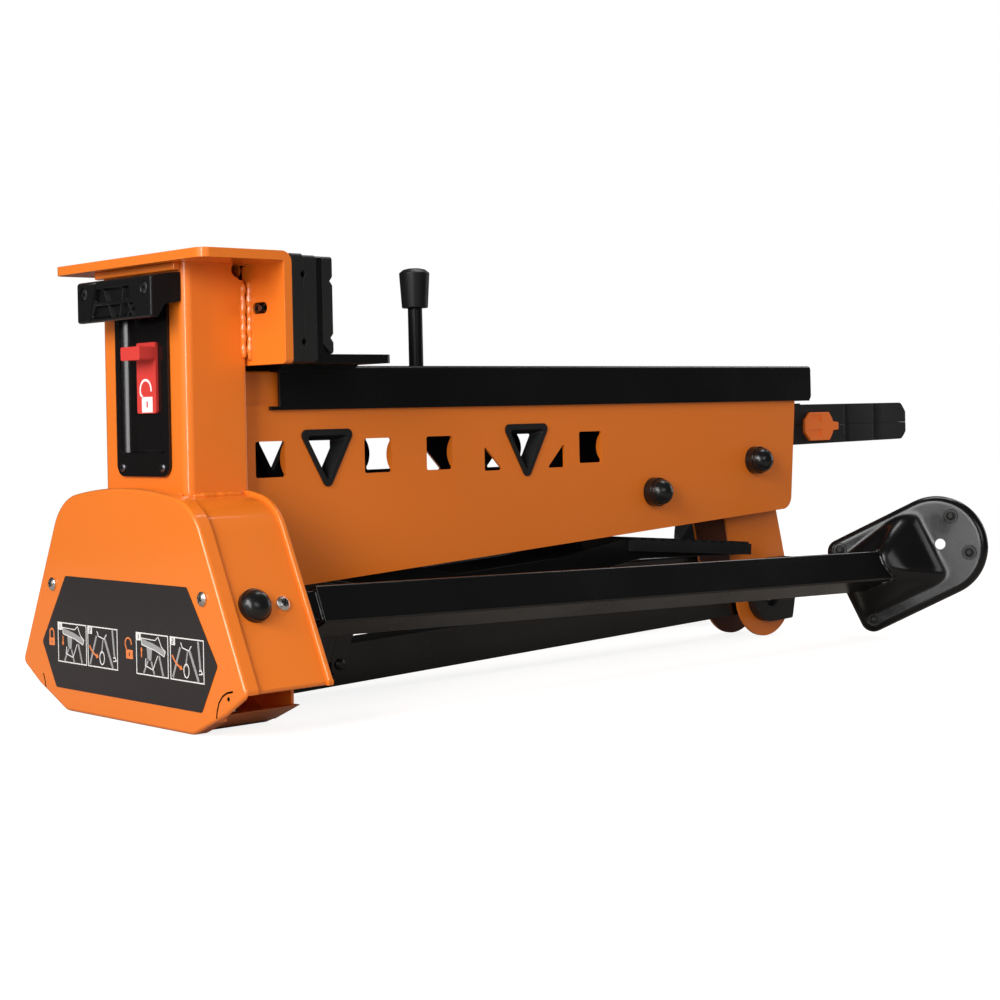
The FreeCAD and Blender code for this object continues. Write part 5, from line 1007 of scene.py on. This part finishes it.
def tube_on_foot(down, inward):
    """Where a line along the near tube runs into the foot's crown."""
    near_end = 700.0
    far_end = 790.0
    for _ in range(24):
        along = (near_end + far_end) / 2
        u, v, high = foot_place(leg_point(along, down, inward))
        if high > crown(u, v):
            near_end = along
        else:
            far_end = along
    return leg_point(near_end, down, inward)


foot_line = [tube_on_foot(*corner) for corner in TUBE_CORNERS]
bead("weld_foot_near", foot_line, 2.3, BLACK_COAT, LEG_NEAR, 2.2)
bead("weld_foot_far", on_side(foot_line, 1), 2.3, BLACK_COAT, LEG_FAR, 1.5)


def stud_rings(side):
    """Thin raised ring around each stud of a front foot."""
    shape = bmesh.new()
    for u, v in ((-39.5, 15.0), (39.5, 15.0), (-20.6, 132.5), (20.6, 132.5)):
        turns = [2 * math.pi * i / 28 for i in range(29)]
        points = [foot_point(u + 7.0 * math.cos(turn), v + 7.0 * math.sin(turn), 0.1) for turn in turns]
        add_tube(shape, on_side(points, side), [0.55 * MM] * len(points), around=8)
    return shape


new_piece("stud_rings_near", stud_rings(-1), [FOOT_COAT], LEG_NEAR, smooth=80.0)
new_piece("stud_rings_far", stud_rings(1), [FOOT_COAT], LEG_FAR, smooth=80.0)


def cap_skirts():
    """Wider foot of each round cap, below its dome."""
    shape = bmesh.new()
    places = [(cheek_point(PIVOT_X, SHELL_DEPTH), CHEEK_OUT, 13.1, 5.6)]
    for x, z in ((558.3, 158.3), (709.0, 184.2)):
        places.append((at(x, -44.0, z), Vector((0.0, -1.0, 0.0)), 13.9, 9.6))
    for base, out, radius, high in places:
        steps = ((0.0, radius), (high - 0.9, radius), (high - 0.25, radius - 0.35), (high, radius - 1.0))
        for flip in (False, True):
            points = [base + out * (step * MM) for step, _ in steps]
            if flip:
                points = [mirrored(point) for point in points]
            add_tube(shape, points, [wide * MM for _, wide in steps], around=40)
    new_piece("cap_skirts", shape, [CAP_BLACK], FRAME_BODY)


cap_skirts()


def catch_guard():
    """Plate beside the catch on the rear leg, which closes the view under the near leg."""
    shape = boxes([((156.0, 192.0), (-20.3, -17.7), (30.0, 63.0))])
    new_piece("leg_catch_guard", shape, [BLACK_COAT], LEG_REAR)


catch_guard()


def slot_screws():
    """Socket screws that hold the fixed facing, seen through the jaw plate's slots."""
    shape = bmesh.new()
    sockets = bmesh.new()
    for side in (-1, 1):
        for off in (-5.4, 5.4):
            y = side * 77.0 + off
            add_prism(shape, circle(y, 325.0, 4.1, 83.9), FRONT * (5.6 * MM))
            add_prism(sockets, circle(y, 325.0, 2.1, 80.6, 6), FRONT * (4.0 * MM))
    face_outward(shape)
    face_outward(sockets)
    new_piece("jaw_slot_screws", shape, [BLACK_GLOSS], FRAME_BODY,
              cutters=[(sockets, PAINTED_RECESS_SHADE)])


slot_screws()


def cap_under_shelf():
    """Flat cap between the column and the shelf; its far end is round."""
    outline = [(11.0, -56.0), (17.2, -56.0), (17.2, 66.0)]
    for i in range(7):
        turn = math.radians(90.0 * i / 6)
        outline.append((15.0 - 4.0 * math.sin(turn), 62.0 + 4.0 * math.cos(turn)))
    shape = prisms([[at(x, y, 354.6) for x, y in outline]], UP * (6.0 * MM))
    edges = [edge for edge in shape.edges if edge.calc_face_angle(0.0) > 1.0]
    round_edges(shape, edges, 1.2, 3, True)
    new_piece("column_cap", shape, [ORANGE], FRAME_BODY)


cap_under_shelf()


def vent_ribs():
    """Thin slanting ribs across the grille's windows."""
    shape = bmesh.new()
    for (y, z), (end_y, end_z) in (((13.9, 342.4), (1.6, 319.8)), ((-15.6, 342.4), (-9.4, 319.8)),
                                   ((-31.6, 330.4), (-20.6, 319.8)), ((-29.4, 319.9), (-19.4, 334.4))):
        corners = [(y + 0.55, z), (y - 0.55, z), (end_y - 0.55, end_z), (end_y + 0.55, end_z)]
        add_prism(shape, [at(-6.2, a, b) for a, b in corners], FRONT * (3.5 * MM))
    face_outward(shape)
    new_piece("vent_ribs", shape, [RIB_BLACK], FRAME_BODY)


vent_ribs()


# Camera at the photograph's place; the numbers were solved from the photograph's straight edges
CAMERA_AT = Vector((-1293.08, -1322.85, 235.85)) * MM
CAMERA_YAW = math.radians(47.89)
CAMERA_PITCH = math.radians(-0.64)
CAMERA_ROLL = math.radians(-1.30)
FOCAL_PIXELS = 1909.06
CENTRE_PIXEL = (500.35, 394.06)
IMAGE_SIZE = 1000.0
SENSOR_MM = 36.0


def add_camera():
    level = math.cos(CAMERA_PITCH)
    ahead = Vector((math.cos(CAMERA_YAW) * level, math.sin(CAMERA_YAW) * level, -math.sin(CAMERA_PITCH)))
    right = Vector((math.sin(CAMERA_YAW), -math.cos(CAMERA_YAW), 0.0))
    up = right.cross(ahead)
    side = right * math.cos(CAMERA_ROLL) + up * math.sin(CAMERA_ROLL)
    top = up * math.cos(CAMERA_ROLL) - right * math.sin(CAMERA_ROLL)
    turn = Matrix((side, top, -ahead)).transposed().to_4x4()
    data = bpy.data.cameras.new("camera")
    data.sensor_width = SENSOR_MM
    data.lens = SENSOR_MM * FOCAL_PIXELS / IMAGE_SIZE
    data.shift_x = (IMAGE_SIZE / 2 - CENTRE_PIXEL[0]) / IMAGE_SIZE
    data.shift_y = (CENTRE_PIXEL[1] - IMAGE_SIZE / 2) / IMAGE_SIZE
    camera = bpy.data.objects.new("camera", data)
    camera.matrix_world = Matrix.Translation(CAMERA_AT) @ turn
    bpy.context.scene.collection.objects.link(camera)
    bpy.context.scene.camera = camera


add_camera()


# Stage: a white floor and soft lamps
FLOOR_GLOW = 0.86
FLOOR_COLOR = (0.31, 0.28, 0.25)
FLOOR_CORNERS = ((-1.6, -0.95), (1.3, -0.95), (1.3, 1.6), (-1.6, 1.6))
FLOOR_LEVEL = -0.0005
WHITE = (1.0, 1.0, 1.0, 1.0)
DIFFUSE_LIGHT = 0.42
GLOSSY_LIGHT = 0.05
SEEN_LIGHT = 1.0


def camera_white(material):
    """The floor looks white to the camera, keeps a faint shadow and lights the object as pale card."""
    nodes = material.node_tree.nodes
    links = material.node_tree.links
    shader = nodes["Principled BSDF"]
    shader.inputs["Base Color"].default_value = (*FLOOR_COLOR, 1.0)
    shader.inputs["Roughness"].default_value = 0.9
    glow = nodes.new("ShaderNodeEmission")
    glow.inputs["Color"].default_value = WHITE
    glow.inputs["Strength"].default_value = FLOOR_GLOW
    shade = nodes.new("ShaderNodeAddShader")
    rays = nodes.new("ShaderNodeLightPath")
    mix = nodes.new("ShaderNodeMixShader")
    links.new(shader.outputs["BSDF"], shade.inputs[0])
    links.new(glow.outputs["Emission"], shade.inputs[1])
    links.new(rays.outputs["Is Camera Ray"], mix.inputs["Fac"])
    links.new(shader.outputs["BSDF"], mix.inputs[1])
    links.new(shade.outputs["Shader"], mix.inputs[2])
    links.new(mix.outputs["Shader"], nodes["Material Output"].inputs["Surface"])


# Pieces that reach below the floor once their joint opens
BELOW_FLOOR = ("front_leg_near_dressed", "front_leg_far_dressed", "rear_leg_dressed", "pedal_arms_dressed")
FOLDED_WITHIN = 0.004


def clear_when_opened(material):
    """Leaves the floor out while a leg or the pedal is opened, so that it hides none of them."""
    nodes = material.node_tree.nodes
    links = material.node_tree.links
    place = nodes.new("ShaderNodeNewGeometry")
    moved = None
    for name in BELOW_FLOOR:
        spot = nodes.new("ShaderNodeTexCoord")
        spot.object = bpy.data.objects[name]
        gap = nodes.new("ShaderNodeVectorMath")
        gap.operation = "DISTANCE"
        links.new(place.outputs["Position"], gap.inputs[0])
        links.new(spot.outputs["Object"], gap.inputs[1])
        if moved is None:
            moved = gap.outputs["Value"]
            continue
        most = nodes.new("ShaderNodeMath")
        most.operation = "MAXIMUM"
        links.new(moved, most.inputs[0])
        links.new(gap.outputs["Value"], most.inputs[1])
        moved = most.outputs["Value"]
    away = nodes.new("ShaderNodeMath")
    away.operation = "GREATER_THAN"
    away.inputs[1].default_value = FOLDED_WITHIN
    links.new(moved, away.inputs[0])
    clear = nodes.new("ShaderNodeBsdfTransparent")
    choice = nodes.new("ShaderNodeMixShader")
    surface = nodes["Material Output"].inputs["Surface"]
    links.new(away.outputs["Value"], choice.inputs["Fac"])
    links.new(surface.links[0].from_socket, choice.inputs[1])
    links.new(clear.outputs["BSDF"], choice.inputs[2])
    links.new(choice.outputs["Shader"], surface)


def add_floor():
    shape = bmesh.new()
    shape.faces.new([shape.verts.new((x, y, 0.0)) for x, y in FLOOR_CORNERS])
    mesh = bpy.data.meshes.new("floor")
    shape.to_mesh(mesh)
    shape.free()
    floor = bpy.data.objects.new("floor", mesh)
    floor.location.z = FLOOR_LEVEL
    bpy.context.scene.collection.objects.link(floor)
    material = bpy.data.materials.new("floor_white")
    material.use_nodes = True
    camera_white(material)
    clear_when_opened(material)
    dress(floor, material)


def add_world():
    """White all round, with its own strength for the camera, for gloss and for all other light."""
    world = bpy.data.worlds.new("studio")
    bpy.context.scene.world = world
    world.use_nodes = True
    nodes = world.node_tree.nodes
    links = world.node_tree.links
    plain = nodes["Background"]
    seen = nodes.new("ShaderNodeBackground")
    glossy = nodes.new("ShaderNodeBackground")
    for light, strength in ((plain, DIFFUSE_LIGHT), (seen, SEEN_LIGHT), (glossy, GLOSSY_LIGHT)):
        light.inputs["Color"].default_value = WHITE
        light.inputs["Strength"].default_value = strength
    rays = nodes.new("ShaderNodeLightPath")
    first = nodes.new("ShaderNodeMixShader")
    second = nodes.new("ShaderNodeMixShader")
    links.new(rays.outputs["Is Glossy Ray"], first.inputs["Fac"])
    links.new(plain.outputs["Background"], first.inputs[1])
    links.new(glossy.outputs["Background"], first.inputs[2])
    links.new(rays.outputs["Is Camera Ray"], second.inputs["Fac"])
    links.new(first.outputs["Shader"], second.inputs[1])
    links.new(seen.outputs["Background"], second.inputs[2])
    links.new(second.outputs["Shader"], nodes["World Output"].inputs["Surface"])


def add_lamp(name, place, aim, size, power):
    data = bpy.data.lights.new(name, "AREA")
    data.shape = "RECTANGLE"
    data.size = size[0]
    data.size_y = size[1]
    data.energy = power
    lamp = bpy.data.objects.new(name, data)
    lamp.location = place
    lamp.rotation_euler = (Vector(aim) - Vector(place)).to_track_quat("-Z", "Y").to_euler()
    bpy.context.scene.collection.objects.link(lamp)


# Name, place, aim, width and height, watts
LAMPS = (
    ("key", (-2.65, -0.55, 1.35), (-0.3, 0.0, 0.2), (1.3, 1.3), 53.0),
    ("strip", (-2.6, -1.5, 0.78), (-0.2, -0.1, 0.3), (0.42, 1.5), 22.0),
    ("front", (-0.8, -2.9, 1.2), (0.1, 0.0, 0.2), (1.6, 1.0), 12.0),
    ("side_right", (3.0, -0.4, 0.65), (0.0, 0.0, 0.2), (0.8, 1.3), 6.5),
    ("high_right", (2.3, 0.4, 1.95), (0.0, 0.0, 0.2), (0.8, 0.8), 8.0),
    ("top", (0.8, 0.35, 2.6), (0.1, 0.0, 0.2), (1.6, 0.9), 25.0),
)

add_floor()
add_world()
for lamp in LAMPS:
    add_lamp(*lamp)

bpy.context.scene.view_settings.view_transform = "Standard"
